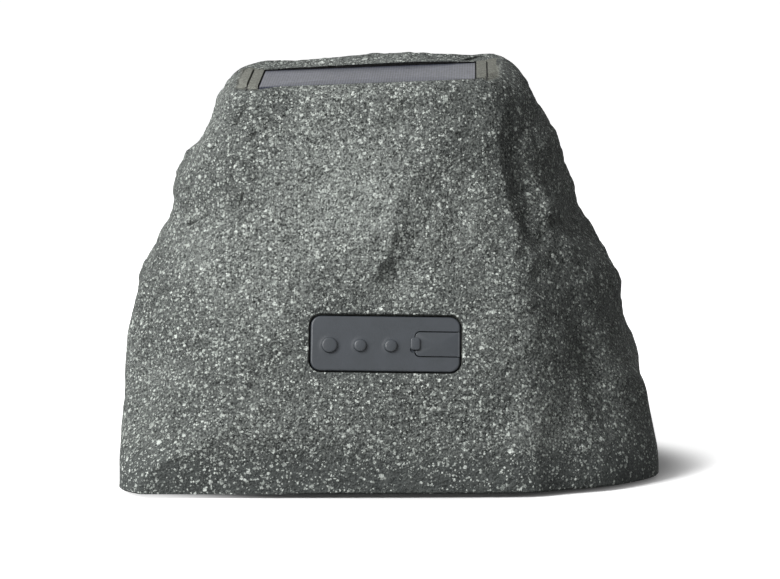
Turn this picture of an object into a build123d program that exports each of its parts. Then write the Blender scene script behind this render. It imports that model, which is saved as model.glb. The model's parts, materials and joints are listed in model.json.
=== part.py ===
from build123d import *
import math
import os

import numpy as np

# Rock shaped garden loudspeaker, in millimetres.
# The floor is z = 0 and +Z is up. The control side faces -Y and the loudspeaker faces +Y.
# Each fitting is drawn in a local frame of its own, whose +Z points out of the boulder.

# Boulder
body_width = 250.0
body_depth = 200.0
top_height = 189.0
top_roll = 2.5
top_pitch = 5.1
shoulder_radius = 8.0
wall = 3.2
foot_height = 2.0
skirt_height = 12.0
skirt_blend = 0.02
edge_softness = 0.018
ring_points = 72
side_levels = 20

# Faces of the boulder in unit space, where the skirt reaches 1 on every side and the height is 1:
# the way the face looks in degrees, its reach at the foot, and its inward run over the full height.
boulder_faces = (
    (180.0, 1.002, 0.030),
    (180.0, 1.186, 0.530),
    (180.0, 1.374, 0.790),
    (0.0, 1.023, 0.370),
    (0.0, 1.114, 0.612),
    (0.0, 1.344, 0.900),
    (-90.0, 1.010, 0.150),
    (-96.0, 1.141, 0.690),
    (-85.0, 1.079, 0.642),
    (-40.0, 1.105, 0.640),
    (-22.0, 1.145, 0.650),
    (-118.0, 1.264, 0.664),
    (-141.3, 1.281, 0.615),
    (90.0, 1.010, 0.150),
    (90.0, 1.080, 0.640),
    (144.2, 1.275, 0.600),
    (35.8, 1.275, 0.680),
)

# Bosses and hollows on those faces: the way they look and their level, the spread of each
# in degrees and in level, and how far they stand out in millimetres.
boulder_dents = (
    (180.0, 0.76, 26.0, 0.060, 3.5),
    (0.0, 0.63, 24.0, 0.055, -4.5),
    (-88.5, 0.52, 6.0, 0.040, -2.5),
    (-84.0, 0.91, 7.0, 0.045, -3.0),
    (-80.0, 0.62, 9.0, 0.110, -4.5),
    (-96.0, 0.64, 7.0, 0.090, 3.0),
    (-46.0, 0.70, 6.0, 0.140, -5.0),
    (-38.0, 0.31, 5.0, 0.120, -3.5),
    (-133.0, 0.32, 8.0, 0.050, -3.0),
    (-120.0, 0.17, 7.0, 0.050, 3.0),
    (48.0, 0.62, 14.0, 0.100, -4.0),
    (128.0, 0.70, 12.0, 0.090, 3.0),
    (150.0, 0.32, 10.0, 0.100, -4.0),
    (30.0, 0.25, 12.0, 0.080, 3.0),
)
panel_fade = 24.0
driver_fade = 14.0
reach_out = 20.0
shoulder_steps = (30.0, 55.0, 75.0, 90.0)

# Solar panel in the top
solar_length = 100.0
solar_width = 60.0
solar_x = -10.7
solar_y = -8.0
solar_yaw = -1.3
solar_roll = 2.4
solar_pitch = 3.7
solar_sink = 2.0
solar_band_width = 5.0
solar_band_rise = 0.6
solar_outer_width = 4.5
solar_outer_rise = 1.2
solar_front_run = 12.0
solar_cover_thickness = 1.2
solar_cell_thickness = 0.4
solar_board_thickness = 1.6
solar_seal_thickness = 0.6
solar_seal_width = 6.0
solar_gap = 0.5
solar_border = 3.0
solar_strips = 8
solar_strip_gap = 0.8
solar_lead_radius = 3.0

# Control panel in the -Y face
panel_height = 68.6
panel_facing = -91.5
panel_lean = 19.0
panel_roll = 0.8
pad_length = 68.0
pad_width = 25.6
pad_corner = 4.8
pad_edge_radius = 0.7
pad_thickness = 3.0
pad_sink = 0.6
pad_gap = 0.6
panel_margin = 6.0
button_spacing = 13.9
button_rise = 1.6
button_travel = 0.8
button_row_y = -1.0
power_button_x = -25.3
power_button_diameter = 7.3
small_button_diameter = 6.0
button_taper = 0.75
button_gap = 0.3
button_collar_width = 1.2
button_collar_thickness = 0.6
button_collar_gap = 0.1
button_collar_drop = 1.35
button_stem_radius = 1.5
flap_length = 20.4
flap_width = 11.2
flap_thickness = 2.7
flap_corner = 2.0
flap_gap = 0.3
flap_bead_radius = 0.8
tab_length = 4.2
tab_width = 5.8
tab_rise = 1.1
tab_lift = 0.2
tab_corner = 1.2
tab_overhang = 2.1
tab_root_inset = 0.5
plug_length = 8.6
plug_width = 7.6
plug_depth = 1.2
plug_corner = 1.5
plug_gap = 1.0

# Tray and board behind the control panel
seat_depth = 5.2
seat_lip = 9.0
control_gasket_thickness = 0.6
tray_thickness = 2.2
tray_inset = 1.0
board_standoff = 8.0
standoff_radius = 2.6
control_board_thickness = 1.6
control_board_inset = 2.5
control_board_side_inset = 0.5
standoff_inset_x = 3.4
standoff_inset_y = 2.8
tray_mouth_corner = 2.0
switch_size = 6.0
switch_body_height = 3.5
switch_plunger_radius = 1.7
switch_plunger_rise = 1.6
switch_play = 0.2
socket_from_tab = 8.16
socket_size = 9.0
socket_bore_radius = 3.2
socket_bore_depth = 9.0
socket_pin_radius = 1.0
socket_pin_length = 8.0
socket_gap = 0.4

# Screws
screw_radius = 1.45
screw_head_radius = 2.8
screw_head_height = 1.7
screw_hole_gap = 0.3
screw_tip_gap = 0.6
thread_gap = 0.05
tray_screw_bite = 2.6
driver_screw_bite = 3.3

# Grille and loudspeaker in the +Y face
driver_height = 84.0
driver_lean = 19.0
grille_radius = 47.0
grille_gap = 0.4
grille_thickness = 1.2
grille_rim_width = 3.0
grille_rim_rise = 0.8
grille_hole_radius = 2.5
grille_hole_pitch = 6.8
grille_field_radius = 38.0
cloth_thickness = 0.4
sound_opening_radius = 41.0
driver_seat_depth = 6.5
driver_seat_width = 5.0
driver_gasket_thickness = 1.0
flange_radius = 50.0
flange_lip = 7.5
basket_wall = 1.4
basket_depth = 29.9
basket_step = 3.4
basket_slope_drop = 2.0
basket_ledge = 0.6
basket_hole_gap = 2.5
basket_windows = 6
basket_arm_width = 9.0
window_edge = 1.5
window_rise = 1.0
spider_stand = 8.4
cone_radius = 35.0
cone_lip = 2.0
cone_thickness = 0.6
cone_depth = 16.0
cone_neck_length = 1.4
cone_travel = 1.5
roll_thickness = 0.6
surround_lip = 2.4
surround_gap = 0.2
spider_thickness = 0.4
spider_waves = 4
spider_wave_height = 0.9
spider_lip = 3.6
spider_gap = 0.2
spider_foot = 1.0
coil_radius = 10.55
coil_thickness = 0.7
coil_overhang = 0.4
coil_gap = 0.35
glue_gap = 0.05
dust_cap_radius = 14.0
dust_cap_rise = 5.0
dust_cap_thickness = 0.5
top_plate_radius = 27.0
top_plate_thickness = 4.0
magnet_radius = 30.0
magnet_hole_radius = 14.0
magnet_thickness = 12.0
yoke_thickness = 4.0
driver_screws_count = 4

# Base
plate_thickness = 3.0
plate_gap = 0.5
base_gasket_thickness = 1.5
ledge_thickness = 4.0
ledge_width = 11.0
boss_radius = 4.5
boss_height = 20.0
boss_inset = 6.0
boss_facings = (40.0, 90.0, 140.0, 220.0, 270.0, 320.0)
base_screw_length = 16.0
rib_gap = 0.8
rib_thickness = 2.0
rib_height = 6.0
rubber_foot_radius = 8.0
rubber_foot_sink = 1.0
rubber_foot_gap = 0.2
rubber_foot_edge = 0.6
foot_spread_x = 82.0
foot_spread_y = 58.0

# Electronics on the base
board_length = 70.0
board_width = 50.0
board_thickness = 1.6
board_x = 48.0
board_y = -22.0
board_post_height = 8.0
board_post_radius = 3.2
board_post_inset = 4.5
module_length = 18.0
module_width = 14.0
module_height = 2.6
module_x = 18.0
capacitor_radius = 4.0
capacitor_height = 12.0
capacitor_spacing = 10.0
cell_radius = 9.15
cell_length = 65.0
cell_gap = 0.4
holder_wall = 1.6
holder_height = 15.0
holder_x = -50.0
holder_y = -20.0
tape_thickness = 0.8

half_width = body_width / 2
half_depth = body_depth / 2
roll_slope = math.tan(math.radians(top_roll))
pitch_slope = math.tan(math.radians(top_pitch))
body_span = top_height - foot_height
ring_shares = list(np.linspace(0.0, 1.0, ring_points + 1))


# Form of the boulder

def smooth_step(value):
    """Nothing below 0, one above 1, with a soft start and end between."""
    held = np.clip(value, 0.0, 1.0)
    return held * held * (3.0 - 2.0 * held)


def face_reach(facing, level):
    """Soft minimum of all the boulder's faces, seen from its axis, with its bosses and hollows."""
    skirt_level = skirt_height / body_span
    raised = skirt_level + skirt_blend * np.logaddexp(0.0, (level - skirt_level) / skirt_blend)
    closeness = 0.0
    for looks, reach, run in boulder_faces:
        turn = np.cos(facing - math.radians(looks))
        distance = (reach - run * raised) / np.maximum(turn, 0.2)
        closeness = closeness + np.exp(-distance / edge_softness)
    reach = -edge_softness * np.log(closeness)
    for looks, height, spread, tall, rise in boulder_dents:
        turn = np.degrees(np.angle(np.exp(1j * (facing - math.radians(looks)))))
        reach = reach + rise / half_depth * np.exp(-(turn / spread) ** 2 - ((level - height) / tall) ** 2)
    return reach


def stretch(facing, level):
    """Foot and direction of the line that a facing and a level trace as the reach grows."""
    x = half_width * np.cos(facing)
    y = half_depth * np.sin(facing)
    zero = 0.0 * x
    start = np.stack([zero, zero, zero + foot_height + level * body_span], axis=-1)
    way = np.stack([x, y, level * (roll_slope * x + pitch_slope * y)], axis=-1)
    return start, way


def face_point(facing_degrees, height):
    """The point of the boulder's plain face at a facing and a height above the floor."""
    facing = np.array([math.radians(facing_degrees)])
    level = np.array([(height - foot_height) / body_span])
    for _ in range(4):
        start, way = stretch(facing, level)
        point = (start + face_reach(facing, level)[:, None] * way)[0]
        level = level + (height - point[2]) / body_span
    return tuple(point)


def leaning_plane(origin, side, lean, roll):
    """A plane that looks to -Y (side -1) or +Y (side 1), leaning back and rolled by some degrees."""
    lean = math.radians(lean)
    outward = (0, side * math.cos(lean), math.sin(lean))
    across = (-side * math.cos(math.radians(roll)), 0, -math.sin(math.radians(roll)))
    return Plane(origin=origin, x_dir=across, z_dir=outward)


panel_plane = leaning_plane(face_point(panel_facing, panel_height), -1, panel_lean, panel_roll)
driver_plane = leaning_plane(face_point(90.0, driver_height), 1, driver_lean, 0.0)

window_length = pad_length + 2 * pad_gap
window_width = pad_width + 2 * pad_gap
window_corner = pad_corner + pad_gap
seat_radius = flange_radius + driver_seat_width

# Flat landings: their plane, half length, half width, corner radius and the width of their fade.
landing_length = window_length / 2 + panel_margin
landing_width = window_width / 2 + panel_margin
landings = (
    (panel_plane, landing_length, landing_width, window_corner + panel_margin, panel_fade),
    (driver_plane, seat_radius, seat_radius, seat_radius, driver_fade),
)


def boulder_reach(facing, level):
    """Reach of the faces, drawn to a flat landing around the control panel and around the grille."""
    reach = face_reach(facing, level)
    start, way = stretch(facing, level)
    for plane, half_length, half_wide, corner, fade in landings:
        outward = np.array(tuple(plane.z_dir))
        offset = np.array(tuple(plane.origin))
        climb = way @ outward
        flat_reach = ((offset - start) @ outward) / np.where(climb > 1.0, climb, 1.0)
        place = start + reach[:, None] * way - offset
        along = np.abs(place @ np.array(tuple(plane.x_dir))) - half_length + corner
        across = np.abs(place @ np.array(tuple(plane.y_dir))) - half_wide + corner
        beyond = np.hypot(np.maximum(along, 0.0), np.maximum(across, 0.0)) - corner
        share = (1.0 - smooth_step(beyond / fade)) * (climb > 1.0)
        reach = reach + share * (flat_reach - reach)
    return reach


def boulder_ring(level, inset=0.0):
    """Points round the boulder at a level, drawn in by an inset and by the rounding of the shoulder."""
    facing = np.linspace(0.0, 2.0 * math.pi, ring_points, endpoint=False)
    start, way = stretch(facing, np.full(ring_points, level))
    ring = start + boulder_reach(facing, np.full(ring_points, level))[:, None] * way
    below_top = (1.0 - level) * body_span
    rounding = max(shoulder_radius - below_top, 0.0)
    inset = inset + shoulder_radius - math.sqrt(shoulder_radius ** 2 - rounding ** 2)
    along = np.roll(ring, -1, axis=0) - np.roll(ring, 1, axis=0)
    length = np.hypot(along[:, 0], along[:, 1])
    ring[:, 0] -= inset * along[:, 1] / length
    ring[:, 1] += inset * along[:, 0] / length
    tilt = roll_slope * ring[:, 0] + pitch_slope * ring[:, 1]
    ring[:, 2] = foot_height + level * (body_span + tilt)
    return [tuple(point) for point in ring]


def loft_boulder(levels, inset=0.0):
    """The solid through the boulder's rings at the given levels."""
    rings = []
    for level in levels:
        edge = Edge.make_spline(boulder_ring(level, inset), periodic=True, parameters=ring_shares)
        rings.append(Wire([edge]))
    return Solid.make_loft(rings)


def floor_outline(height, inset):
    """The boulder's section at a height, drawn in by an inset, as a flat outline on z = 0."""
    ring = boulder_ring((height - foot_height) / body_span, inset)
    flat = [(x, y, 0) for x, y, z in ring]
    return Face(Wire([Edge.make_spline(flat, periodic=True, parameters=ring_shares)]))


# Plain shapes in a local frame

def stand(outline, low, high):
    """A flat outline stood up from low to high along the local Z axis."""
    return Pos(0, 0, low) * extrude(outline, amount=high - low)


def rod(radius, low, high, x=0.0, y=0.0):
    """A round bar along the local Z axis."""
    return Pos(x, y, 0) * stand(Circle(radius), low, high)


def tube(outer, inner, low, high):
    """A round ring along the local Z axis."""
    return stand(Circle(outer) - Circle(inner), low, high)


def turned(points):
    """A body turned about the local Z axis from a closed outline of radius and height."""
    return revolve(Plane.XZ * make_face(Polyline(*points, close=True)), axis=Axis.Z)


def screw(length):
    """A pan head screw along the local Z axis, with its head below z = 0."""
    return rod(screw_head_radius, -screw_head_height, 0) + rod(screw_radius, 0, length)


def group(solids):
    """Several like pieces that share one node."""
    return Compound([solid for shape in solids for solid in shape.solids()])


def corners(half_length, half_wide):
    """The four corners of a rectangle about the local origin."""
    return [(sx * half_length, sy * half_wide) for sx in (-1, 1) for sy in (-1, 1)]


# Places of the fittings
solar_top = top_height + roll_slope * solar_x + pitch_slope * solar_y - solar_sink
solar_roll_slope = math.tan(math.radians(solar_roll))
solar_pitch_slope = math.tan(math.radians(solar_pitch))
solar_plane = Plane(
    origin=(solar_x, solar_y, solar_top),
    x_dir=(math.cos(math.radians(solar_yaw)), math.sin(math.radians(solar_yaw)), solar_roll_slope),
    z_dir=(-solar_roll_slope, -solar_pitch_slope, 1),
)
solar_place = Location(solar_plane)
panel_place = Location(panel_plane)
driver_place = Location(driver_plane)

# Depths below the solar panel's face
solar_board_top = -solar_cover_thickness
solar_board_low = solar_board_top - solar_board_thickness
solar_floor = solar_board_low - solar_seal_thickness
roof_drop = wall + solar_sink - solar_floor

# Depths behind the control landing
pad_face = -pad_sink
pad_back = pad_face - pad_thickness
tray_front = -(seat_depth + control_gasket_thickness)
tray_back = tray_front - tray_thickness
control_board_front = tray_back - board_standoff
control_board_back = control_board_front - control_board_thickness
socket_front = pad_back - plug_depth - socket_gap
seat_length = window_length + 2 * seat_lip
seat_width = window_width + 2 * seat_lip
tray_length = seat_length - 2 * tray_inset
tray_width = seat_width - 2 * tray_inset
tray_screw_x = (window_length / 2 + tray_length / 2) / 2
tray_screw_y = (window_width / 2 + tray_width / 2) / 2
tray_screw_length = tray_thickness + control_gasket_thickness + tray_screw_bite
control_board_length = window_length - 2 * control_board_inset
control_board_width = window_width - 2 * control_board_side_inset
board_screw_x = control_board_length / 2 - standoff_inset_x
board_screw_y = control_board_width / 2 - standoff_inset_y
board_screw_length = board_standoff - screw_tip_gap

flap_right = pad_length / 2
flap_left = flap_right - flap_length
hinge_x = flap_right - flap_bead_radius
hinge_z = pad_face - flap_bead_radius
flap_y = 0.0
socket_x = flap_left + socket_from_tab

buttons = {
    "power": (power_button_x, power_button_diameter),
    "light": (power_button_x + button_spacing, small_button_diameter),
    "pair": (power_button_x + 2 * button_spacing, small_button_diameter),
}
collar_front = pad_face - button_collar_drop
collar_back = collar_front - button_collar_thickness
plunger_top = control_board_front + switch_body_height + switch_plunger_rise
stem_end = plunger_top + button_travel + switch_play

# Depths behind the grille landing
cloth_back = -(grille_rim_rise + grille_thickness + cloth_thickness)
flange_front = -(driver_seat_depth + driver_gasket_thickness)
flange_back = flange_front - basket_wall
surround_seat = flange_front - basket_step
basket_back = flange_front - basket_depth
spider_seat = basket_back + spider_stand
lip_inner = flange_radius - flange_lip
roll_outer = lip_inner - surround_lip
seat_inner = roll_outer - basket_ledge
cone_rim = surround_seat
top_plate_back = basket_back - top_plate_thickness
magnet_back = top_plate_back - magnet_thickness
yoke_back = magnet_back - yoke_thickness
pole_radius = coil_radius - coil_thickness - coil_gap
gap_radius = coil_radius + coil_gap
coil_front = cone_rim - cone_depth
coil_back = top_plate_back - cone_travel - coil_overhang
spider_outer = top_plate_radius - spider_foot
driver_screw_radius = (lip_inner + basket_wall + flange_radius) / 2
driver_screw_length = basket_wall + driver_gasket_thickness + driver_screw_bite

# Heights of the base
plate_low = foot_height
plate_top = plate_low + plate_thickness
sunk_head_top = plate_low + screw_head_height
rubber_foot_top = plate_low + rubber_foot_sink
ledge_low = plate_top + base_gasket_thickness
ledge_top = ledge_low + ledge_thickness


def boss_points():
    """Centres of the base screws, a set way in from the boulder's wall."""
    facing = np.radians(np.array(boss_facings))
    level = np.full(len(boss_facings), (ledge_low - foot_height) / body_span)
    start, way = stretch(facing, level)
    points = start + boulder_reach(facing, level)[:, None] * way
    length = np.hypot(points[:, 0], points[:, 1])
    drawn = 1.0 - (wall + boss_inset) / length
    return [(x, y) for x, y in zip(points[:, 0] * drawn, points[:, 1] * drawn)]


base_screw_points = boss_points()
foot_points = {
    "foot_left_front": (-foot_spread_x, -foot_spread_y),
    "foot_right_front": (foot_spread_x, -foot_spread_y),
    "foot_left_back": (-foot_spread_x, foot_spread_y),
    "foot_right_back": (foot_spread_x, foot_spread_y),
}


# Boulder shell

def shell_fittings():
    """Ledge, screw bosses and the two seats that stand in from the wall."""
    ledge = stand(Rectangle(body_width, body_depth), ledge_low, ledge_top)
    ledge -= stand(floor_outline(ledge_low, wall + ledge_width), ledge_low, ledge_top)
    for x, y in base_screw_points:
        ledge += rod(boss_radius, ledge_low, ledge_low + boss_height, x, y)
    panel_seat = panel_place * stand(Rectangle(seat_length, seat_width), -seat_depth, 0)
    driver_seat = driver_place * rod(seat_radius, -driver_seat_depth, 0)
    return [ledge, panel_seat, driver_seat]


def shell_cuts():
    """Everything that is cut from the boulder: window, sound opening, solar pocket and screw holes."""
    window = RectangleRounded(window_length, window_width, window_corner)
    cuts = [
        panel_place * stand(window, -seat_depth, reach_out),
        driver_place * rod(grille_radius + grille_gap, cloth_back, reach_out),
        driver_place * rod(sound_opening_radius, -driver_seat_depth, cloth_back),
    ]
    pocket_length = solar_length + 2 * solar_gap
    pocket_width = solar_width + 2 * solar_gap
    band_length = pocket_length + 2 * solar_band_width
    outer_length = band_length + 2 * solar_outer_width
    cuts.append(solar_place * stand(Rectangle(pocket_length, pocket_width), solar_floor, 0))
    strips = ((pocket_length, 0), (band_length, solar_band_rise), (outer_length, solar_outer_rise))
    for length, height in strips:
        strip = Pos(0, -solar_front_run / 2) * Rectangle(length, pocket_width + solar_front_run)
        cuts.append(solar_place * stand(strip, height, reach_out))
    cuts.append(solar_place * rod(solar_lead_radius, solar_floor - 2 * roof_drop, solar_floor))
    hole_radius = screw_radius + thread_gap
    for x, y in base_screw_points:
        cuts.append(rod(hole_radius, ledge_low, plate_low + base_screw_length + screw_tip_gap, x, y))
    tray_hole_end = -seat_depth + tray_screw_bite + screw_tip_gap
    for x, y in corners(tray_screw_x, tray_screw_y):
        cuts.append(panel_place * rod(hole_radius, -seat_depth, tray_hole_end, x, y))
    driver_hole_end = -driver_seat_depth + driver_screw_bite + screw_tip_gap
    for x, y in driver_screw_points():
        cuts.append(driver_place * rod(hole_radius, -driver_seat_depth, driver_hole_end, x, y))
    return cuts


def rock_shell():
    """The moulded boulder: a lofted outside, a lofted hollow, and the seats left standing in it."""
    skirt_level = skirt_height / body_span
    shoulder_rise = shoulder_radius / body_span
    shoulder_level = 1.0 - shoulder_rise
    rounding = [shoulder_level + shoulder_rise * math.sin(math.radians(turn)) for turn in shoulder_steps]
    sides = [0.0, skirt_level / 2] + list(np.linspace(skirt_level, shoulder_level, side_levels))
    outside = loft_boulder(sides + rounding)
    roof_level = 1.0 - roof_drop / body_span
    below_roof = [level for level in sides if level < roof_level - shoulder_rise / 4]
    hollow = loft_boulder(below_roof + [roof_level], wall) - shell_fittings()
    shell = outside - hollow
    for cut in shell_cuts():
        shell -= cut
    return shell


# Solar panel

def solar_parts():
    """Bedding frame, backing board, a row of cells and the clear face cast over them."""
    whole = Rectangle(solar_length, solar_width)
    frame_hole = Rectangle(solar_length - 2 * solar_seal_width, solar_width - 2 * solar_seal_width)
    seal = stand(whole - frame_hole, solar_floor, solar_board_low)
    board = stand(whole, solar_board_low, solar_board_top)
    field_length = solar_length - 2 * solar_border
    field_width = solar_width - 2 * solar_border
    pitch = (field_length + solar_strip_gap) / solar_strips
    cell_top = solar_board_top + solar_cell_thickness
    strip = stand(Rectangle(pitch - solar_strip_gap, field_width), solar_board_top, cell_top)
    cells = [Pos((i - (solar_strips - 1) / 2) * pitch, 0, 0) * strip for i in range(solar_strips)]
    cover = stand(whole, solar_board_top, 0)
    cover -= stand(Rectangle(field_length, field_width), solar_board_top, cell_top)
    return {
        "solar_seal": solar_place * seal,
        "solar_board": solar_place * board,
        "solar_cells": group([solar_place * cell for cell in cells]),
        "solar_cover": solar_place * cover,
    }


# Control panel

def flap_outline(gap=0.0):
    """Outline of the port flap, rounded at the tab end and square at the hinge, grown by a gap."""
    plain = Rectangle(flap_length + 2 * gap, flap_width + 2 * gap)
    plain = Pos((flap_left + flap_right) / 2, flap_y) * plain
    tab_end = plain.vertices().group_by(Axis.X)[0]
    return fillet(tab_end, flap_corner + gap)


def control_pad():
    """Rubber pad with a hole and a collar pocket for each button and an open bay for the flap."""
    pad = stand(RectangleRounded(pad_length, pad_width, pad_corner), pad_back, pad_face)
    rim = pad.faces().sort_by(Axis.Z)[-1].edges()
    pad = fillet(rim, pad_edge_radius)
    pad -= stand(flap_outline(flap_gap), pad_back, pad_face)
    for x, diameter in buttons.values():
        hole_radius = diameter / 2 + button_gap
        pad -= rod(hole_radius, pad_back, pad_face, x, button_row_y)
        pad -= rod(hole_radius + button_collar_width, pad_back, collar_front, x, button_row_y)
    return pad


def push_button(diameter):
    """Tapered cap on a round body, with a collar that keeps it in the pad and a stem to its switch."""
    radius = diameter / 2
    cap = turned([
        (0, pad_face),
        (radius, pad_face),
        (radius * button_taper, pad_face + button_rise),
        (0, pad_face + button_rise),
    ])
    body = rod(radius, collar_back, pad_face)
    collar = rod(radius + button_collar_width, collar_back, collar_front - button_collar_gap)
    stem = rod(button_stem_radius, stem_end, collar_back)
    return cap + body + collar + stem


def port_flap():
    """Rubber flap with a round bead along its hinge, a finger tab and a plug over the socket."""
    plate = Pos(0, 0, pad_face - flap_thickness) * extrude(flap_outline(), amount=flap_thickness)
    beyond_hinge = Box(flap_length, 2 * flap_width, 3 * flap_thickness)
    plate -= Pos(hinge_x + flap_length / 2, flap_y, pad_face) * beyond_hinge
    bead = Rot(90, 0, 0) * rod(flap_bead_radius, -flap_width / 2, flap_width / 2)
    bead = Pos(hinge_x, flap_y, hinge_z) * bead
    tab_x = flap_left - tab_overhang + tab_length / 2
    tab = RectangleRounded(tab_length, tab_width, tab_corner)
    tab = stand(tab, pad_face + tab_lift, pad_face + tab_rise)
    root_length = tab_length - tab_overhang
    root = Rectangle(root_length, tab_width - 2 * tab_root_inset)
    root = stand(root, pad_face - flap_thickness / 2, pad_face + tab_rise / 2)
    plug = RectangleRounded(plug_length, plug_width, plug_corner)
    plug = stand(plug, pad_back - plug_depth, pad_face - flap_thickness)
    tab = Pos(tab_x, flap_y, 0) * tab
    root = Pos(flap_left + root_length / 2, flap_y, 0) * root
    plug = Pos(socket_x, flap_y, 0) * plug
    return plate + bead + tab + root + plug


def control_tray():
    """Carrier behind the pad: an island in the window, a flange on the seat and posts for the board."""
    island = RectangleRounded(pad_length, pad_width, pad_corner)
    tray = stand(Rectangle(tray_length, tray_width), tray_back, tray_front)
    tray += stand(island, tray_front, pad_back)
    for x, y in corners(board_screw_x, board_screw_y):
        tray += rod(standoff_radius, control_board_front, tray_back, x, y)
    for x, y in corners(board_screw_x, board_screw_y):
        tray -= rod(screw_radius + thread_gap, control_board_front, tray_back, x, y)
    for x, y in corners(tray_screw_x, tray_screw_y):
        tray -= rod(screw_radius + screw_hole_gap, tray_back, tray_front, x, y)
    for x, diameter in buttons.values():
        tray -= rod(button_stem_radius + button_gap, tray_back, pad_back, x, button_row_y)
    mouth = RectangleRounded(plug_length + 2 * plug_gap, plug_width + 2 * plug_gap, tray_mouth_corner)
    tray -= Pos(socket_x, flap_y, 0) * stand(mouth, socket_front, pad_back)
    well = Rectangle(socket_size + 2 * socket_gap, socket_size + 2 * socket_gap)
    tray -= Pos(socket_x, flap_y, 0) * stand(well, tray_back, socket_front)
    return tray


def charge_socket():
    """Round power socket with a centre pin."""
    body = stand(Rectangle(socket_size, socket_size), control_board_front, socket_front)
    body -= rod(socket_bore_radius, socket_front - socket_bore_depth, socket_front)
    pin_root = socket_front - socket_bore_depth
    pin = rod(socket_pin_radius, pin_root, pin_root + socket_pin_length)
    return Pos(socket_x, flap_y, 0) * (body + pin)


def push_switch():
    """Square push switch with a round plunger."""
    body_top = control_board_front + switch_body_height
    body = stand(Rectangle(switch_size, switch_size), control_board_front, body_top)
    return body + rod(switch_plunger_radius, body_top, plunger_top)


def control_parts():
    """The control panel, from the pad the hand meets to the board behind it."""
    seat = Rectangle(tray_length, tray_width)
    window = RectangleRounded(window_length, window_width, window_corner)
    gasket = stand(seat - window, tray_front, -seat_depth)
    board = Rectangle(control_board_length, control_board_width)
    board = stand(board, control_board_back, control_board_front)
    tray_screws = []
    for x, y in corners(tray_screw_x, tray_screw_y):
        gasket -= rod(screw_radius + screw_hole_gap, tray_front, -seat_depth, x, y)
        tray_screws.append(panel_place * Pos(x, y, tray_back) * screw(tray_screw_length))
    board_screws = []
    for x, y in corners(board_screw_x, board_screw_y):
        board -= rod(screw_radius + screw_hole_gap, control_board_back, control_board_front, x, y)
        board_screws.append(panel_place * Pos(x, y, control_board_back) * screw(board_screw_length))
    parts = {
        "control_pad": panel_place * control_pad(),
        "port_flap": panel_place * port_flap(),
        "control_gasket": panel_place * gasket,
        "control_tray": panel_place * control_tray(),
        "tray_screws": group(tray_screws),
        "control_board": panel_place * board,
        "charge_socket": panel_place * charge_socket(),
        "board_screws": group(board_screws),
    }
    for name, (x, diameter) in buttons.items():
        parts[name + "_button"] = panel_place * Pos(x, button_row_y, 0) * push_button(diameter)
        parts[name + "_switch"] = panel_place * Pos(x, button_row_y, 0) * push_switch()
    return parts


# Grille and loudspeaker

def driver_screw_points():
    """Centres of the screws round the loudspeaker's flange."""
    turns = [math.radians(45 + i * 360 / driver_screws_count) for i in range(driver_screws_count)]
    return [(driver_screw_radius * math.cos(a), driver_screw_radius * math.sin(a)) for a in turns]


def grille():
    """Perforated disc with a raised rim, its holes in staggered rows."""
    low = -(grille_rim_rise + grille_thickness)
    disc = rod(grille_radius, low, -grille_rim_rise)
    disc += tube(grille_radius, grille_radius - grille_rim_width, -grille_rim_rise, 0)
    row_pitch = grille_hole_pitch * math.sqrt(3) / 2
    rows = int(grille_field_radius / row_pitch) + 1
    holes = []
    for row in range(-rows, rows + 1):
        shift = grille_hole_pitch / 2 * (row % 2)
        for column in range(-rows - 1, rows + 2):
            x = column * grille_hole_pitch + shift
            y = row * row_pitch
            if math.hypot(x, y) < grille_field_radius:
                outline = Pos(x, y) * RegularPolygon(grille_hole_radius, 6, rotation=30)
                holes.append(stand(outline, low, -grille_rim_rise))
    return disc - holes


def driver_basket():
    """Pressed frame: flange, surround seat, open sloping arms, spider seat and floor."""
    slope_low = spider_seat
    slope_top = surround_seat - basket_slope_drop
    waist = spider_outer - spider_lip - spider_gap
    hole = coil_radius + basket_hole_gap
    frame = turned([
        (flange_radius, flange_front),
        (flange_radius, flange_back),
        (lip_inner + basket_wall, flange_back),
        (lip_inner + basket_wall, surround_seat - basket_wall),
        (seat_inner + basket_wall, surround_seat - basket_wall),
        (seat_inner + basket_wall, slope_top - basket_wall / 2),
        (spider_outer + basket_wall, slope_low - basket_wall),
        (waist + basket_wall, slope_low - basket_wall),
        (waist + basket_wall, basket_back),
        (hole, basket_back),
        (hole, basket_back + basket_wall),
        (waist, basket_back + basket_wall),
        (waist, slope_low),
        (spider_outer, slope_low),
        (seat_inner, slope_top),
        (seat_inner, surround_seat),
        (lip_inner, surround_seat),
        (lip_inner, flange_front),
    ])
    window_inner = spider_outer + basket_wall + window_rise
    windows = tube(seat_inner - window_edge, window_inner, slope_low - window_edge, slope_top + window_rise)
    arm = Box(seat_inner, basket_arm_width, basket_depth)
    arm = Pos(seat_inner / 2, 0, (slope_low + slope_top) / 2) * arm
    windows -= [Rot(0, 0, i * 360 / basket_windows) * arm for i in range(basket_windows)]
    frame -= windows
    for x, y in driver_screw_points():
        frame -= rod(screw_radius + screw_hole_gap, flange_back, flange_front, x, y)
    return frame


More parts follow.
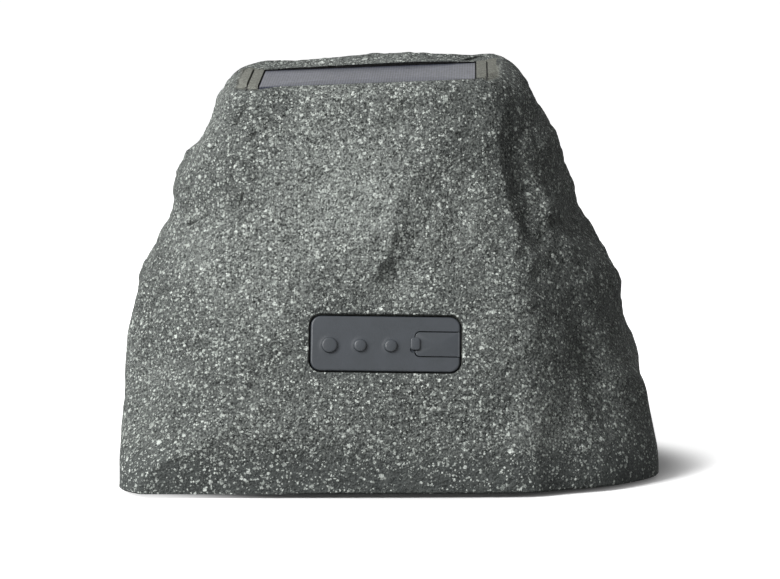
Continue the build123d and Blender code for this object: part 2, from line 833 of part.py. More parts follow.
def cone_parts():
    """Voice coil, cone and dust cap, which move together."""
    neck = coil_radius
    rim_low = cone_rim - cone_thickness
    neck_top = coil_front
    cone = turned([
        (neck, neck_top - cone_neck_length),
        (neck + cone_thickness, neck_top - cone_neck_length),
        (neck + cone_thickness, neck_top - cone_thickness),
        (cone_radius - cone_lip, rim_low),
        (cone_radius, rim_low),
        (cone_radius, cone_rim),
        (cone_radius - cone_lip, cone_rim),
        (neck, neck_top + cone_thickness / 2),
    ])
    coil = tube(coil_radius, coil_radius - coil_thickness, coil_back, coil_front)
    slope = (cone_rim - neck_top - cone_thickness / 2) / (cone_radius - cone_lip - neck)
    cap_foot = neck_top + cone_thickness / 2 + slope * (dust_cap_radius - neck) + glue_gap
    ball_radius = (dust_cap_radius ** 2 + dust_cap_rise ** 2) / (2 * dust_cap_rise)
    ball = Sphere(ball_radius) - Sphere(ball_radius - dust_cap_thickness)
    cap = Pos(0, 0, cap_foot + dust_cap_rise - ball_radius) * ball
    cap &= rod(2 * dust_cap_radius, cap_foot, cap_foot + 2 * dust_cap_rise)
    parts = {"voice_coil": coil, "cone": cone, "dust_cap": cap}
    return {name: driver_place * shape for name, shape in parts.items()}


def surround():
    """Half roll of rubber between the cone's rim and the basket."""
    inner = cone_radius
    middle = (inner + roll_outer) / 2
    radius = (roll_outer - inner) / 2
    low = surround_seat
    high = surround_seat + roll_thickness
    edge = lip_inner - surround_gap
    outline = make_face([
        Polyline((inner, low), (inner - cone_lip, low), (inner - cone_lip, high), (inner, high)),
        ThreePointArc((inner, high), (middle, high + radius), (roll_outer, high)),
        Polyline((roll_outer, high), (edge, high), (edge, low), (roll_outer, low)),
        ThreePointArc((roll_outer, low), (middle, low + radius), (inner, low)),
    ])
    return revolve(Plane.XZ * outline, axis=Axis.Z)


def spider():
    """Corrugated disc that centres the voice coil."""
    outer = spider_outer - spider_gap
    wave_start = coil_radius + 4 * spider_thickness
    wave_end = outer - spider_lip
    count = 2 * spider_waves
    step = (wave_end - wave_start) / count
    heights = [spider_wave_height * (i % 2) for i in range(count)] + [0.0]
    crest = [(wave_start + i * step, spider_seat + heights[i]) for i in range(count + 1)]
    under = [(coil_radius + glue_gap, spider_seat)] + crest + [(outer, spider_seat)]
    over = [(radius, height + spider_thickness) for radius, height in reversed(under)]
    return turned(under + over)


def driver_parts():
    """Grille, cloth and loudspeaker, from the outside in."""
    gasket = tube(flange_radius, lip_inner, flange_front, -driver_seat_depth)
    screws = []
    for x, y in driver_screw_points():
        gasket -= rod(screw_radius + screw_hole_gap, flange_front, -driver_seat_depth, x, y)
        screws.append(driver_place * Pos(x, y, flange_back) * screw(driver_screw_length))
    yoke = rod(top_plate_radius, yoke_back, magnet_back) + rod(pole_radius, magnet_back, basket_back)
    parts = {
        "grille": grille(),
        "grille_cloth": rod(grille_radius, cloth_back, cloth_back + cloth_thickness),
        "driver_gasket": gasket,
        "driver_basket": driver_basket(),
        "driver_top_plate": tube(top_plate_radius, gap_radius, top_plate_back, basket_back),
        "driver_magnet": tube(magnet_radius, magnet_hole_radius, magnet_back, top_plate_back),
        "driver_yoke": yoke,
        "spider": spider(),
        "surround": surround(),
    }
    placed = {name: driver_place * shape for name, shape in parts.items()}
    placed["driver_screws"] = group(screws)
    return placed | cone_parts()


# Base

def base_plate():
    """Floor of the boulder, with a locating rib, sunk screws and feet, and posts for the main board."""
    plate = stand(floor_outline(ledge_low, wall + plate_gap), plate_low, plate_top)
    rib_outside = wall + ledge_width + rib_gap
    rib = floor_outline(ledge_low, rib_outside) - floor_outline(ledge_low, rib_outside + rib_thickness)
    rib_top = plate_top + rib_height
    post_top = plate_top + board_post_height
    rib = stand(rib, plate_top, rib_top)
    rib -= [rod(boss_radius + rib_gap, plate_top, rib_top, x, y) for x, y in base_screw_points]
    posts = [rod(board_post_radius, plate_top, post_top, x, y) for x, y in board_posts()]
    holes = [rod(screw_radius + thread_gap, plate_top, post_top, x, y) for x, y in board_posts()]
    for x, y in base_screw_points:
        holes.append(rod(screw_radius + screw_hole_gap, plate_low, plate_top, x, y))
        holes.append(rod(screw_head_radius + screw_hole_gap, plate_low, sunk_head_top, x, y))
    for x, y in foot_points.values():
        holes.append(rod(rubber_foot_radius + rubber_foot_gap, plate_low, rubber_foot_top, x, y))
    return plate + ([rib] + posts) - holes


def rubber_foot():
    """Round rubber foot with a softened lower edge, pressed into the base plate."""
    foot = rod(rubber_foot_radius, 0, rubber_foot_top)
    return chamfer(foot.faces().sort_by(Axis.Z)[0].edges(), rubber_foot_edge)


def base_parts():
    """Plate, gasket, screws and feet under the boulder."""
    gasket = floor_outline(ledge_low, wall + plate_gap) - floor_outline(ledge_low, wall + ledge_width)
    gasket = stand(gasket, plate_top, ledge_low)
    screws = []
    for x, y in base_screw_points:
        gasket -= rod(screw_radius + screw_hole_gap, plate_top, ledge_low, x, y)
        screws.append(Pos(x, y, sunk_head_top) * screw(base_screw_length - screw_head_height))
    parts = {"base_plate": base_plate(), "base_gasket": gasket, "base_screws": group(screws)}
    for name, (x, y) in foot_points.items():
        parts[name] = Pos(x, y, 0) * rubber_foot()
    return parts


# Electronics

def board_posts():
    """Centres of the posts under the main board."""
    spots = corners(board_length / 2 - board_post_inset, board_width / 2 - board_post_inset)
    return [(board_x + x, board_y + y) for x, y in spots]


def board_parts():
    """Main board on its posts, with the wireless module, two capacitors and the screws."""
    low = plate_top + board_post_height
    high = low + board_thickness
    board = Pos(board_x, board_y, 0) * stand(Rectangle(board_length, board_width), low, high)
    fixing = Rot(180, 0, 0) * screw(board_thickness + board_post_height - screw_tip_gap)
    screws = []
    for x, y in board_posts():
        board -= rod(screw_radius + screw_hole_gap, low, high, x, y)
        screws.append(Pos(x, y, high) * fixing)
    module = stand(Rectangle(module_length, module_width), high, high + module_height)
    cans = []
    for side in (-1, 1):
        can_y = board_y + side * capacitor_spacing / 2
        cans.append(rod(capacitor_radius, high, high + capacitor_height, board_x, can_y))
    return {
        "main_board": board,
        "main_board_screws": group(screws),
        "wireless_module": Pos(board_x + module_x, board_y, 0) * module,
        "capacitors": group(cans),
    }


def battery_parts():
    """Two round cells in an open holder, taped to the base plate."""
    pitch = 2 * cell_radius + cell_gap
    inner_length = cell_length + 2 * cell_gap
    inner_width = 2 * pitch
    outer = Rectangle(inner_length + 2 * holder_wall, inner_width + 2 * holder_wall)
    holder_low = plate_top + tape_thickness
    floor_top = holder_low + holder_wall
    holder = stand(outer, holder_low, holder_low + holder_height)
    holder -= stand(Rectangle(inner_length, inner_width), floor_top, holder_low + holder_height)
    cell_z = floor_top + cell_radius + cell_gap / 2
    cell = Pos(-cell_length / 2, 0, cell_z) * Rot(0, 90, 0) * rod(cell_radius, 0, cell_length)
    place = Pos(holder_x, holder_y, 0)
    return {
        "battery_tape": place * stand(outer, plate_top, holder_low),
        "battery_holder": place * holder,
        "battery_cell_front": place * Pos(0, -pitch / 2, 0) * cell,
        "battery_cell_back": place * Pos(0, pitch / 2, 0) * cell,
    }


model = {"rock_shell": rock_shell()}
model |= solar_parts()
model |= control_parts()
model |= driver_parts()
model |= base_parts()
model |= board_parts()
model |= battery_parts()

os.makedirs("parts", exist_ok=True)
for name, shape in model.items():
    export_step(shape, f"parts/{name}.step")
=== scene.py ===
import json
import math

import bpy
import numpy as np
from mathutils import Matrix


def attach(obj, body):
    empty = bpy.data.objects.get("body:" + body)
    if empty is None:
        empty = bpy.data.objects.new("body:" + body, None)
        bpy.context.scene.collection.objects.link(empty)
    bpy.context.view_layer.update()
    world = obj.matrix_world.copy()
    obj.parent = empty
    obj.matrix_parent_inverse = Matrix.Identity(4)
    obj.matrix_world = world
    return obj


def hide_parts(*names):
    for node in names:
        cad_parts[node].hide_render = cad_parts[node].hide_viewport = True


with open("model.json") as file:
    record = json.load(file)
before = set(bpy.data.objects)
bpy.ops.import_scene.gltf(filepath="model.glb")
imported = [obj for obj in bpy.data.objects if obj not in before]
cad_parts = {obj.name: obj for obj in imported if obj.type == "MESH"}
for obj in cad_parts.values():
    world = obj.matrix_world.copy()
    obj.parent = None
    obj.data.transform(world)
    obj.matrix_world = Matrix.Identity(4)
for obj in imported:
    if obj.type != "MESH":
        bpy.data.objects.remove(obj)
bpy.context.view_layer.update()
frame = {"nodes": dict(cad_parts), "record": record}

# Lengths are in millimetres here, as in the part's source, and become metres when a mesh is made.
MILLIMETRE = 0.001

# Boulder
body_width = 250.0
body_depth = 200.0
top_height = 189.0
top_roll = 2.5
top_pitch = 5.1
shoulder_radius = 8.0
wall = 3.2
foot_height = 2.0
skirt_height = 12.0
skirt_blend = 0.02
edge_softness = 0.018
least_turn = 0.2
panel_fade = 24.0
driver_fade = 14.0
relief_room = 1.5
ledge_low = 6.5
ledge_top = 10.5
ledge_width = 11.0
boss_radius = 4.5
boss_height = 20.0
boss_inset = 6.0
boss_facings = (40.0, 90.0, 140.0, 220.0, 270.0, 320.0)
half_width = body_width / 2
half_depth = body_depth / 2
body_span = top_height - foot_height
roll_slope = math.tan(math.radians(top_roll))
pitch_slope = math.tan(math.radians(top_pitch))

# The way each face of the boulder looks in degrees, its reach at the foot and its run over the height.
boulder_faces = (
    (180.0, 1.002, 0.030),
    (180.0, 1.186, 0.530),
    (180.0, 1.374, 0.790),
    (0.0, 1.023, 0.370),
    (0.0, 1.114, 0.612),
    (0.0, 1.344, 0.900),
    (-90.0, 1.010, 0.150),
    (-96.0, 1.141, 0.690),
    (-85.0, 1.058, 0.585),
    (-44.0, 1.080, 0.470),
    (-22.0, 1.145, 0.650),
    (-118.0, 1.264, 0.664),
    (-141.3, 1.281, 0.615),
    (90.0, 1.010, 0.150),
    (90.0, 1.080, 0.640),
    (144.2, 1.275, 0.600),
    (35.8, 1.275, 0.680),
)

# Bosses and hollows: the way they look, their level, their spread in degrees and level, their rise.
boulder_dents = (
    (180.0, 0.76, 26.0, 0.060, 3.5),
    (180.0, 0.96, 30.0, 0.045, 2.2),
    (180.0, 0.65, 30.0, 0.050, -1.9),
    (180.0, 0.51, 30.0, 0.045, 2.2),
    (180.0, 0.26, 30.0, 0.085, -2.3),
    (180.0, 0.03, 40.0, 0.060, -1.4),
    (0.0, 0.63, 24.0, 0.055, -4.5),
    (0.0, 0.94, 30.0, 0.050, 2.3),
    (0.0, 0.81, 30.0, 0.045, 2.4),
    (0.0, 0.72, 30.0, 0.030, -1.8),
    (0.0, 0.61, 30.0, 0.040, -2.5),
    (0.0, 0.48, 30.0, 0.060, 3.0),
    (0.0, 0.30, 30.0, 0.045, -2.2),
    (-88.5, 0.52, 6.0, 0.040, -2.5),
    (-84.0, 0.91, 7.0, 0.045, -3.0),
    (-96.0, 0.64, 7.0, 0.090, 2.0),
    (-46.0, 0.70, 6.0, 0.140, -5.0),
    (-38.0, 0.31, 5.0, 0.120, -3.5),
    (-133.0, 0.32, 8.0, 0.050, -3.0),
    (-120.0, 0.17, 7.0, 0.050, 3.0),
    (48.0, 0.62, 14.0, 0.100, -4.0),
    (128.0, 0.70, 12.0, 0.090, 3.0),
    (150.0, 0.32, 10.0, 0.100, -4.0),
    (30.0, 0.25, 12.0, 0.080, 3.0),
)

# Front corners of the foot: the way they look, their spread in degrees, how far they come forward.
foot_corners = (
    (-38.0, 13.0, 14.0),
    (-140.0, 15.0, 20.0),
)
foot_corner_level = 0.13

# Solar panel
solar_length = 100.0
solar_width = 60.0
solar_x = -10.7
solar_y = -8.0
solar_yaw = -1.3
solar_roll = 2.4
solar_pitch = 3.7
solar_sink = 2.0
solar_band_rise = 0.6
solar_band_width = 5.0
solar_outer_rise = 1.2
solar_outer_width = 4.5
solar_front_run = 12.0
groove_width = 0.7
groove_depth = 0.5
back_fall = 1.7
back_run = 16.0
back_lead = 6.0
back_side_run = 14.0
solar_gap = 0.5
solar_board_top = -1.2
solar_floor = -3.4
solar_edge_round = 0.25
solar_corner = 0.6
pocket_corner = 0.3
band_corner = 0.5
pocket_length = solar_length + 2 * solar_gap
pocket_width = solar_width + 2 * solar_gap
bands_half_length = pocket_length / 2 + solar_band_width + solar_outer_width
roof_drop = wall + solar_sink - solar_floor

# Control panel
panel_height = 68.6
panel_facing = -91.5
panel_lean = 19.0
panel_roll = 0.8
pad_length = 68.0
pad_width = 25.6
pad_corner = 4.8
pad_thickness = 3.0
pad_sink = 0.2
pad_gap = 0.6
panel_margin = 6.0
seat_depth = 5.2
seat_lip = 9.0
button_row_y = -1.0
button_spacing = 13.9
power_button_x = -25.3
power_button_radius = 3.65
small_button_radius = 3.0
button_rise = 1.6
button_foot = 2.9
flap_length = 20.4
flap_width = 11.2
flap_thickness = 2.7
flap_corner = 2.0
flap_gap = 0.3
flap_bead_radius = 0.8
tab_length = 4.2
tab_width = 5.8
tab_rise = 1.1
tab_overhang = 2.1
plug_length = 8.6
plug_width = 7.6
plug_depth = 1.2
socket_from_tab = 8.16
pad_face = -pad_sink
pad_back = pad_face - pad_thickness
flap_right = pad_length / 2
flap_left = flap_right - flap_length
window_length = pad_length + 2 * pad_gap
window_width = pad_width + 2 * pad_gap
window_corner = pad_corner + pad_gap

# Grille
driver_height = 84.0
driver_lean = 19.0
grille_opening = 47.4
sound_opening = 41.0
cloth_back = -2.4
driver_seat_depth = 6.5
driver_seat_radius = 55.0


# Form of the boulder

def smooth_step(value):
    """Nothing below 0, one above 1, and 3t^2 - 2t^3 between."""
    held = np.clip(value, 0.0, 1.0)
    return held * held * (3.0 - 2.0 * held)


def ramp_up(value, start, run):
    """A smooth step from nothing at the start to one at the end of the run."""
    return smooth_step((value - start) / run)


def come_back(distance, least, run):
    """A share that grows from its least at no distance to one at the end of the run."""
    return least + (1.0 - least) * smooth_step(distance / run)


def turn_from(facing, looks):
    """Degrees from the way that a form looks to each facing, -180 to 180."""
    return np.degrees(np.angle(np.exp(1j * (facing - math.radians(looks)))))


def face_reach(facing, level):
    """Soft minimum of the distances to all faces, -s log(sum exp(-d / s)), plus a bell for each dent."""
    skirt_level = skirt_height / body_span
    raised = skirt_level + skirt_blend * np.logaddexp(0.0, (level - skirt_level) / skirt_blend)
    closeness = 0.0
    for looks, reach, run in boulder_faces:
        turn = np.maximum(np.cos(facing - math.radians(looks)), least_turn)
        closeness = closeness + np.exp(-(reach - run * raised) / turn / edge_softness)
    reach = -edge_softness * np.log(closeness)
    for looks, height, spread, tall, rise in boulder_dents:
        bell = np.exp(-(turn_from(facing, looks) / spread) ** 2 - ((level - height) / tall) ** 2)
        reach = reach + rise / half_depth * bell
    return reach


def stretch(facing, level):
    """The line x = w cos f, y = d sin f, and its climb with the tilted top, that the reach runs along."""
    x = half_width * np.cos(facing)
    y = half_depth * np.sin(facing)
    zero = 0.0 * x
    start = np.stack([zero, zero, zero + foot_height + level * body_span], axis=-1)
    way = np.stack([x, y, level * (roll_slope * x + pitch_slope * y)], axis=-1)
    return start, way


def face_point(facing_degrees, height):
    """The point of the plain face at a facing and a height, found by stepping the level four times."""
    facing = np.array([math.radians(facing_degrees)])
    level = np.array([(height - foot_height) / body_span])
    for _ in range(4):
        start, way = stretch(facing, level)
        point = (start + face_reach(facing, level)[:, None] * way)[0]
        level = level + (height - point[2]) / body_span
    return point


def unit(vector):
    """A vector divided by its length."""
    vector = np.asarray(vector, float)
    return vector / np.linalg.norm(vector)


def local_frame(origin, across, outward):
    """Origin and three unit axes: across made square to outward, the third their cross product."""
    outward = unit(outward)
    across = unit(np.asarray(across, float) - np.dot(across, outward) * outward)
    return np.array([origin, across, np.cross(outward, across), outward])


def leaning_frame(origin, side, lean, roll):
    """A frame that looks to -Y (side -1) or +Y (side 1), leaning back and rolled by some degrees."""
    lean = math.radians(lean)
    roll = math.radians(roll)
    across = (-side * math.cos(roll), 0.0, -math.sin(roll))
    return local_frame(origin, across, (0.0, side * math.cos(lean), math.sin(lean)))


def put(local, place):
    """Local points carried to the row frame: origin + x a + y b + z c."""
    return place[0] + np.asarray(local, float) @ place[1:]


def seen_from(points, place):
    """Row frame points given as local x, y, z."""
    return (points - place[0]) @ place[1:].T


panel = leaning_frame(face_point(panel_facing, panel_height), -1, panel_lean, panel_roll)
driver = leaning_frame(face_point(90.0, driver_height), 1, driver_lean, 0.0)
solar_top = top_height + roll_slope * solar_x + pitch_slope * solar_y - solar_sink
solar_roll_slope = math.tan(math.radians(solar_roll))
solar_pitch_slope = math.tan(math.radians(solar_pitch))
solar = local_frame(
    (solar_x, solar_y, solar_top),
    (math.cos(math.radians(solar_yaw)), math.sin(math.radians(solar_yaw)), solar_roll_slope),
    (-solar_roll_slope, -solar_pitch_slope, 1.0),
)


def beyond_rectangle(x, y, half_length, half_wide, corner):
    """Signed distance from a rounded rectangle: length of the part outside its core, less the corner."""
    along = np.abs(x) - half_length + corner
    across = np.abs(y) - half_wide + corner
    outside = np.hypot(np.maximum(along, 0.0), np.maximum(across, 0.0))
    return outside + np.minimum(np.maximum(along, across), 0.0) - corner


def boulder_reach(facing, level):
    """Reach of the faces, drawn by a smooth step to a flat landing at the control panel and the grille."""
    reach = face_reach(facing, level)
    start, way = stretch(facing, level)
    length = window_length / 2 + panel_margin
    width = window_width / 2 + panel_margin
    landings = (
        (panel, length, width, window_corner + panel_margin, panel_fade),
        (driver, driver_seat_radius, driver_seat_radius, driver_seat_radius, driver_fade),
    )
    for place, half_length, half_wide, corner, fade in landings:
        climb = way @ place[3]
        flat_reach = ((place[0] - start) @ place[3]) / np.where(climb > 1.0, climb, 1.0)
        local = seen_from(start + reach[..., None] * way, place)
        beyond = beyond_rectangle(local[..., 0], local[..., 1], half_length, half_wide, corner)
        share = (1.0 - smooth_step(beyond / fade)) * (climb > 1.0)
        reach = reach + share * (flat_reach - reach)
    return reach


def boulder_rings(facing, level, inset):
    """Rings of the boulder, one row per level, each drawn in square to itself by an inset."""
    facing, level = np.broadcast_arrays(facing[None, :], level[:, None])
    start, way = stretch(facing, level)
    ring = start + boulder_reach(facing, level)[..., None] * way
    below_top = (1.0 - level) * body_span
    rounding = np.maximum(shoulder_radius - below_top, 0.0)
    inset = inset[:, None] + shoulder_radius - np.sqrt(shoulder_radius ** 2 - rounding ** 2)
    along = np.roll(ring, -1, axis=1) - np.roll(ring, 1, axis=1)
    length = np.hypot(along[..., 0], along[..., 1])
    x = ring[..., 0] - inset * along[..., 1] / length
    y = ring[..., 1] + inset * along[..., 0] / length
    z = foot_height + level * (body_span + roll_slope * x + pitch_slope * y)
    return np.stack([x, y, z], axis=-1)


# Stone relief

# Noise: the lattice's turn from the axes, the factors that mix a cell's bits, and the gains.
lattice_turn = np.array([[0.80, 0.36, -0.48], [-0.60, 0.48, -0.64], [0.0, 0.80, 0.60]])
cell_factors = np.array([374761393, 668265263, 1440662683])
seed_factor = 974634721
swell_gain = 1.6
knob_gain = 2.4
knob_mean = 0.55


def lattice_numbers(cell, seed):
    """A repeatable number from -1 to 1 for each whole-number cell, from its mixed bits."""
    mixed = ((cell * cell_factors).sum(axis=-1) + seed * seed_factor).astype(np.uint32)
    mixed = (mixed ^ (mixed >> np.uint32(13))) * np.uint32(1274126177)
    mixed = (mixed ^ (mixed >> np.uint32(15))) * np.uint32(2246822519)
    mixed = mixed ^ (mixed >> np.uint32(16))
    return mixed.astype(float) / 2147483647.5 - 1.0


def swell(points, size, seed):
    """Gradient noise: at each corner of a lattice a random slope, blended by 6t^5 - 15t^4 + 10t^3."""
    spot = points @ lattice_turn / size
    low = np.floor(spot).astype(np.int64)
    part = spot - low
    ease = part ** 3 * (part * (part * 6.0 - 15.0) + 10.0)
    total = 0.0
    for step in np.ndindex(2, 2, 2):
        step = np.array(step)
        slopes = [lattice_numbers(low + step, seed * 3 + axis) for axis in range(3)]
        away = part - step
        height = sum(slopes[axis] * away[..., axis] for axis in range(3))
        weight = np.prod(np.where(step == 1, ease, 1.0 - ease), axis=-1)
        total = total + weight * height
    return swell_gain * total


def knobs(points, size, seed):
    """Rounded lumps with sharp creases between: the size of the noise, less its mean."""
    return knob_gain * np.abs(swell(points, size, seed)) - knob_mean


# How deep below an opening's face its surroundings still count, and the distance given to all else.
opening_depth = 30.0
top_depth = 12.0
far_away = 1e3


def near_panel(points):
    """Distance beyond the control window's edge, large on the other sides of the boulder."""
    x, y, z = np.moveaxis(seen_from(points, panel), -1, 0)
    beyond = beyond_rectangle(x, y, window_length / 2, window_width / 2, window_corner)
    return np.where(z > -opening_depth, beyond, far_away)


def near_grille(points):
    """Distance beyond the grille opening's edge, large on the other sides of the boulder."""
    x, y, z = np.moveaxis(seen_from(points, driver), -1, 0)
    return np.where(z > -opening_depth, np.hypot(x, y) - grille_opening, far_away)


def near_solar(points):
    """Distance beyond the solar panel's pocket and end bands, large below the top."""
    x, y, z = np.moveaxis(seen_from(points, solar), -1, 0)
    beyond = beyond_rectangle(x, y, bands_half_length, pocket_width / 2, band_corner)
    return np.where(z > -top_depth, beyond, far_away)


# Bare bands: slack round their edges, how they fade at the ends, and how far under the panel they count.
band_slack = 0.3
band_fade = 1.5
band_below = 1.0


def on_bands(points):
    """One on the smooth bands at the solar panel's two ends, nothing elsewhere."""
    x, y, z = np.moveaxis(seen_from(points, solar), -1, 0)
    x = np.abs(x)
    inside = (x > pocket_length / 2 - band_slack) & (y < pocket_width / 2 + band_slack)
    inside = inside & (z > -band_below) & (z < solar_sink)
    side_end = 1.0 - ramp_up(x, bands_half_length + band_slack, band_fade)
    return inside * side_end * ramp_up(y, -pocket_width / 2 - band_fade, band_fade)


# How far from the solar panel's plane a point still belongs to its pocket.
pocket_reach = 4.0


def behind_solar(points):
    """How near a point of the top is to the solar panel's back edge: one there, nothing past the run."""
    x, y, z = np.moveaxis(seen_from(points, solar), -1, 0)
    past_edge = y - pocket_width / 2
    past_side = np.abs(x) - pocket_length / 2
    near = ramp_up(past_edge, -back_lead, back_lead) * (1.0 - smooth_step(past_edge / back_run))
    return near * (1.0 - smooth_step(past_side / back_side_run)) * (z > -pocket_reach)


# Relief and fine tooth that are left beside a form: the least share, and the run to the full share.
panel_relief = (0.12, 16.0)
grille_relief = (0.06, 12.0)
solar_relief = (0.15, 5.0)
skirt_relief = (0.10, 26.0)
top_relief_loss = 0.55
top_relief_start = 180.0
top_relief_run = 5.0
opening_tooth = (0.6, 5.0)
skirt_tooth = (0.4, 16.0)


def calmness(points):
    """How much of the relief is left: less at the openings, by the solar panel, on top and on the skirt."""
    height = points[..., 2]
    left = come_back(near_panel(points), *panel_relief)
    left = left * come_back(near_grille(points), *grille_relief)
    left = left * come_back(near_solar(points), *solar_relief)
    left = left * (1.0 - top_relief_loss * ramp_up(height, top_relief_start, top_relief_run))
    return left * come_back(height - skirt_height, *skirt_relief)


def tooth_left(points):
    """How much of the fine tooth is left: most of it at the openings, less than half low on the skirt."""
    left = come_back(near_panel(points), *opening_tooth)
    left = left * come_back(near_grille(points), *opening_tooth)
    return left * come_back(points[..., 2] - skirt_height, *skirt_tooth)


# Pale spray: its share, the swing, size and seed of its patches, and its crowding on the upper front, partly
# real and partly painted light where the light falls most.
spray_share = 0.52
spray_swing = 0.18
spray_patch = 40.0
spray_seed = 21
spray_and_light_crowding = 0.28
spray_side = -30.0
spray_height = 128.0
spray_spread = 42.0
spray_foot = (0.50, 24.0)
spray_foot_height = 4.0
spray_limits = (0.1, 0.9)

# Painted shade on the side turned from the light: fewer pale specks right of a line that leans left going
# up, except at the back.
shaded_side_loss = 0.14
shaded_side_lean = 0.45
shaded_side_height = 100.0
shaded_side_start = 48.0
shaded_side_run = 22.0
shaded_side_back = 60.0


def speck_share_with_light_and_shade(points):
    """Share of the stone that the pale spray covers: most on the upper front, partly as painted light, least
    low down, and less on the right as painted shade.
    """
    x, y, z = np.moveaxis(points, -1, 0)
    share = spray_share + spray_swing * swell(points, spray_patch, spray_seed)
    away = ((x - spray_side) / spray_spread) ** 2 + ((z - spray_height) / spray_spread) ** 2
    # Crowding on the upper front: partly a denser spray, partly painted light on the side the lamp lights
    # most.
    share = share + spray_and_light_crowding * np.exp(-away)
    share = share * come_back(z - spray_foot_height, *spray_foot)
    # Painted shade: fewer pale specks on the right, the side turned from the light.
    turned = ramp_up(x + shaded_side_lean * (z - shaded_side_height), shaded_side_start, shaded_side_run)
    return np.clip(share - shaded_side_loss * turned * (y < shaded_side_back), *spray_limits)


# Crest on the front: heights, and how far to the side the crest is at each.
crest_heights = (84.0, 94.0, 111.0, 138.0, 149.0, 168.0)
crest_sides = (-12.0, -9.0, -1.0, 4.0, 20.0, 34.0)
crest_rise = 2.0
crest_fall = 0.17
crest_depth = 5.0
crest_left_fall = 0.13
crest_left_depth = 2.4

# Where the crest begins and ends in height, and its falls and its rise end to the side: start and run.
crest_begin = (88.0, 18.0)
crest_end = (150.0, 26.0)
crest_right_end = (46.0, 24.0)
crest_left_end = (30.0, 30.0)
crest_rise_end = (36.0, 30.0)

# Hollows (-) and bosses (+) on the front: to the side, up, spread to the side and up, rise.
front_hollows = (
    (2.0, 97.0, 9.0, 7.0, -2.6),
    (-84.0, 68.0, 10.0, 8.0, -2.6),
    (-95.0, 38.0, 8.0, 6.0, -2.2),
    (-73.0, 37.0, 10.0, 8.0, 1.8),
    (8.0, 172.0, 7.0, 6.0, -2.0),
    (66.0, 140.0, 9.0, 11.0, -3.0),
    (-45.0, 150.0, 16.0, 12.0, 1.6),
    (-40.0, 118.0, 10.0, 9.0, -1.5),
)

# Short cracks on the front: the two ends of each, to the side and up, and its depth.
cracks = (
    (-67.7, 173.5, -72.3, 165.6, 1.6),
    (-67.7, 136.0, -70.5, 129.5, 1.8),
    (-85.8, 124.5, -94.7, 119.3, 1.6),
    (-60.7, 182.0, -53.3, 183.8, 1.2),
    (-62.1, 162.2, -63.5, 159.4, 1.5),
    (20.2, 181.9, 26.3, 181.4, 1.4),
)
crack_width = 1.1


def front_crest(points):
    """A roof-like crest that falls away to both sides by a share of the way, with the hollows by it."""
    x, y, z = np.moveaxis(points, -1, 0)
    beside = x - np.interp(z, crest_heights, crest_sides)
    right = crest_depth * np.tanh(crest_fall * np.maximum(beside, 0.0) / crest_depth)
    right = right * (1.0 - ramp_up(x, *crest_right_end))
    left = crest_left_depth * np.tanh(crest_left_fall * np.maximum(-beside, 0.0) / crest_left_depth)
    left = left * (1.0 - ramp_up(-x, *crest_left_end))
    rise = crest_rise * (1.0 - ramp_up(np.abs(x), *crest_rise_end))
    lift = (rise - left - right) * ramp_up(z, *crest_begin) * (1.0 - ramp_up(z, *crest_end))
    for side, height, wide, tall, rise in front_hollows:
        lift = lift + rise * np.exp(-((x - side) / wide) ** 2 - ((z - height) / tall) ** 2)
    return lift * (y < 0.0)


def front_cracks(points):
    """Grooves along short lines: a bell across each, of the distance to its nearest point."""
    x, y, z = np.moveaxis(points, -1, 0)
    sunk = 0.0
    for x0, z0, x1, z1, depth in cracks:
        along = ((x - x0) * (x1 - x0) + (z - z0) * (z1 - z0)) / ((x1 - x0) ** 2 + (z1 - z0) ** 2)
        along = np.clip(along, 0.0, 1.0)
        away = np.hypot(x - x0 - along * (x1 - x0), z - z0 - along * (z1 - z0))
        sunk = sunk + depth * np.exp(-(away / crack_width) ** 2)
    return -sunk * (y < 0.0)


# Lumps of the stone: gain, size and seed. The finer ones vary by patches and grow with height.
coarse_lumps = ((1.2, 34.0, 1), (1.0, 17.0, 2))
creased_lumps = ((0.50, 11.0, 3),)
fine_lumps = ((0.55, 6.0, 4), (0.34, 3.2, 5))
patch_share = 0.5
patch_growth = 0.6
patch_climb = (40.0, 90.0)
patch_lumps = ((0.7, 48.0, 11),)


def heap(form, lumps, points):
    """The sum of a form over a list of lumps."""
    return sum(gain * form(points, size, seed) for gain, size, seed in lumps)


def stone_relief(points):
    """Lumps of five sizes, one of them creased, stronger high up and in some patches than in others."""
    climb = patch_growth * ramp_up(points[..., 2], *patch_climb)
    patch = patch_share + climb + heap(swell, patch_lumps, points)
    fine = heap(knobs, creased_lumps, points) + heap(swell, fine_lumps, points)
    lumps = heap(swell, coarse_lumps, points) + patch * fine
    return calmness(points) * lumps + front_crest(points) + front_cracks(points)


# Meshes

def grid_faces(rows, columns):
    """Quads of a grid that closes on itself along its rows."""
    row = np.arange(rows - 1)[:, None] * columns
    left = np.arange(columns)[None, :]
    right = (left + 1) % columns
    quads = np.stack([row + left, row + right, row + columns + right, row + columns + left], axis=-1)
    return quads.reshape(-1, 4)


def closed_rings(grid):
    """Points and faces of stacked rings, closed by a fan to the middle of the first and the last."""
    rows, columns = grid.shape[:2]
    points = np.concatenate([grid.reshape(-1, 3), grid[:1].mean(axis=1), grid[-1:].mean(axis=1)])
    left = np.arange(columns)
    right = (left + 1) % columns
    last = (rows - 1) * columns
    low = np.stack([right, left, np.full(columns, rows * columns)], axis=-1)
    high = np.stack([last + left, last + right, np.full(columns, rows * columns + 1)], axis=-1)
    return points, grid_faces(rows, columns).tolist() + low.tolist() + high.tolist()


def make_piece(name, points, faces):
    """A mesh object at the origin from row frame points in millimetres."""
    mesh = bpy.data.meshes.new(name)
    mesh.from_pydata((np.asarray(points) * MILLIMETRE).tolist(), [], faces)
    mesh.update()
    piece = bpy.data.objects.new(name, mesh)
    bpy.context.collection.objects.link(piece)
    return piece


def ring_piece(name, grid):
    """A closed piece from stacked rings, running counterclockwise as seen from their top."""
    return make_piece(name, *closed_rings(grid))


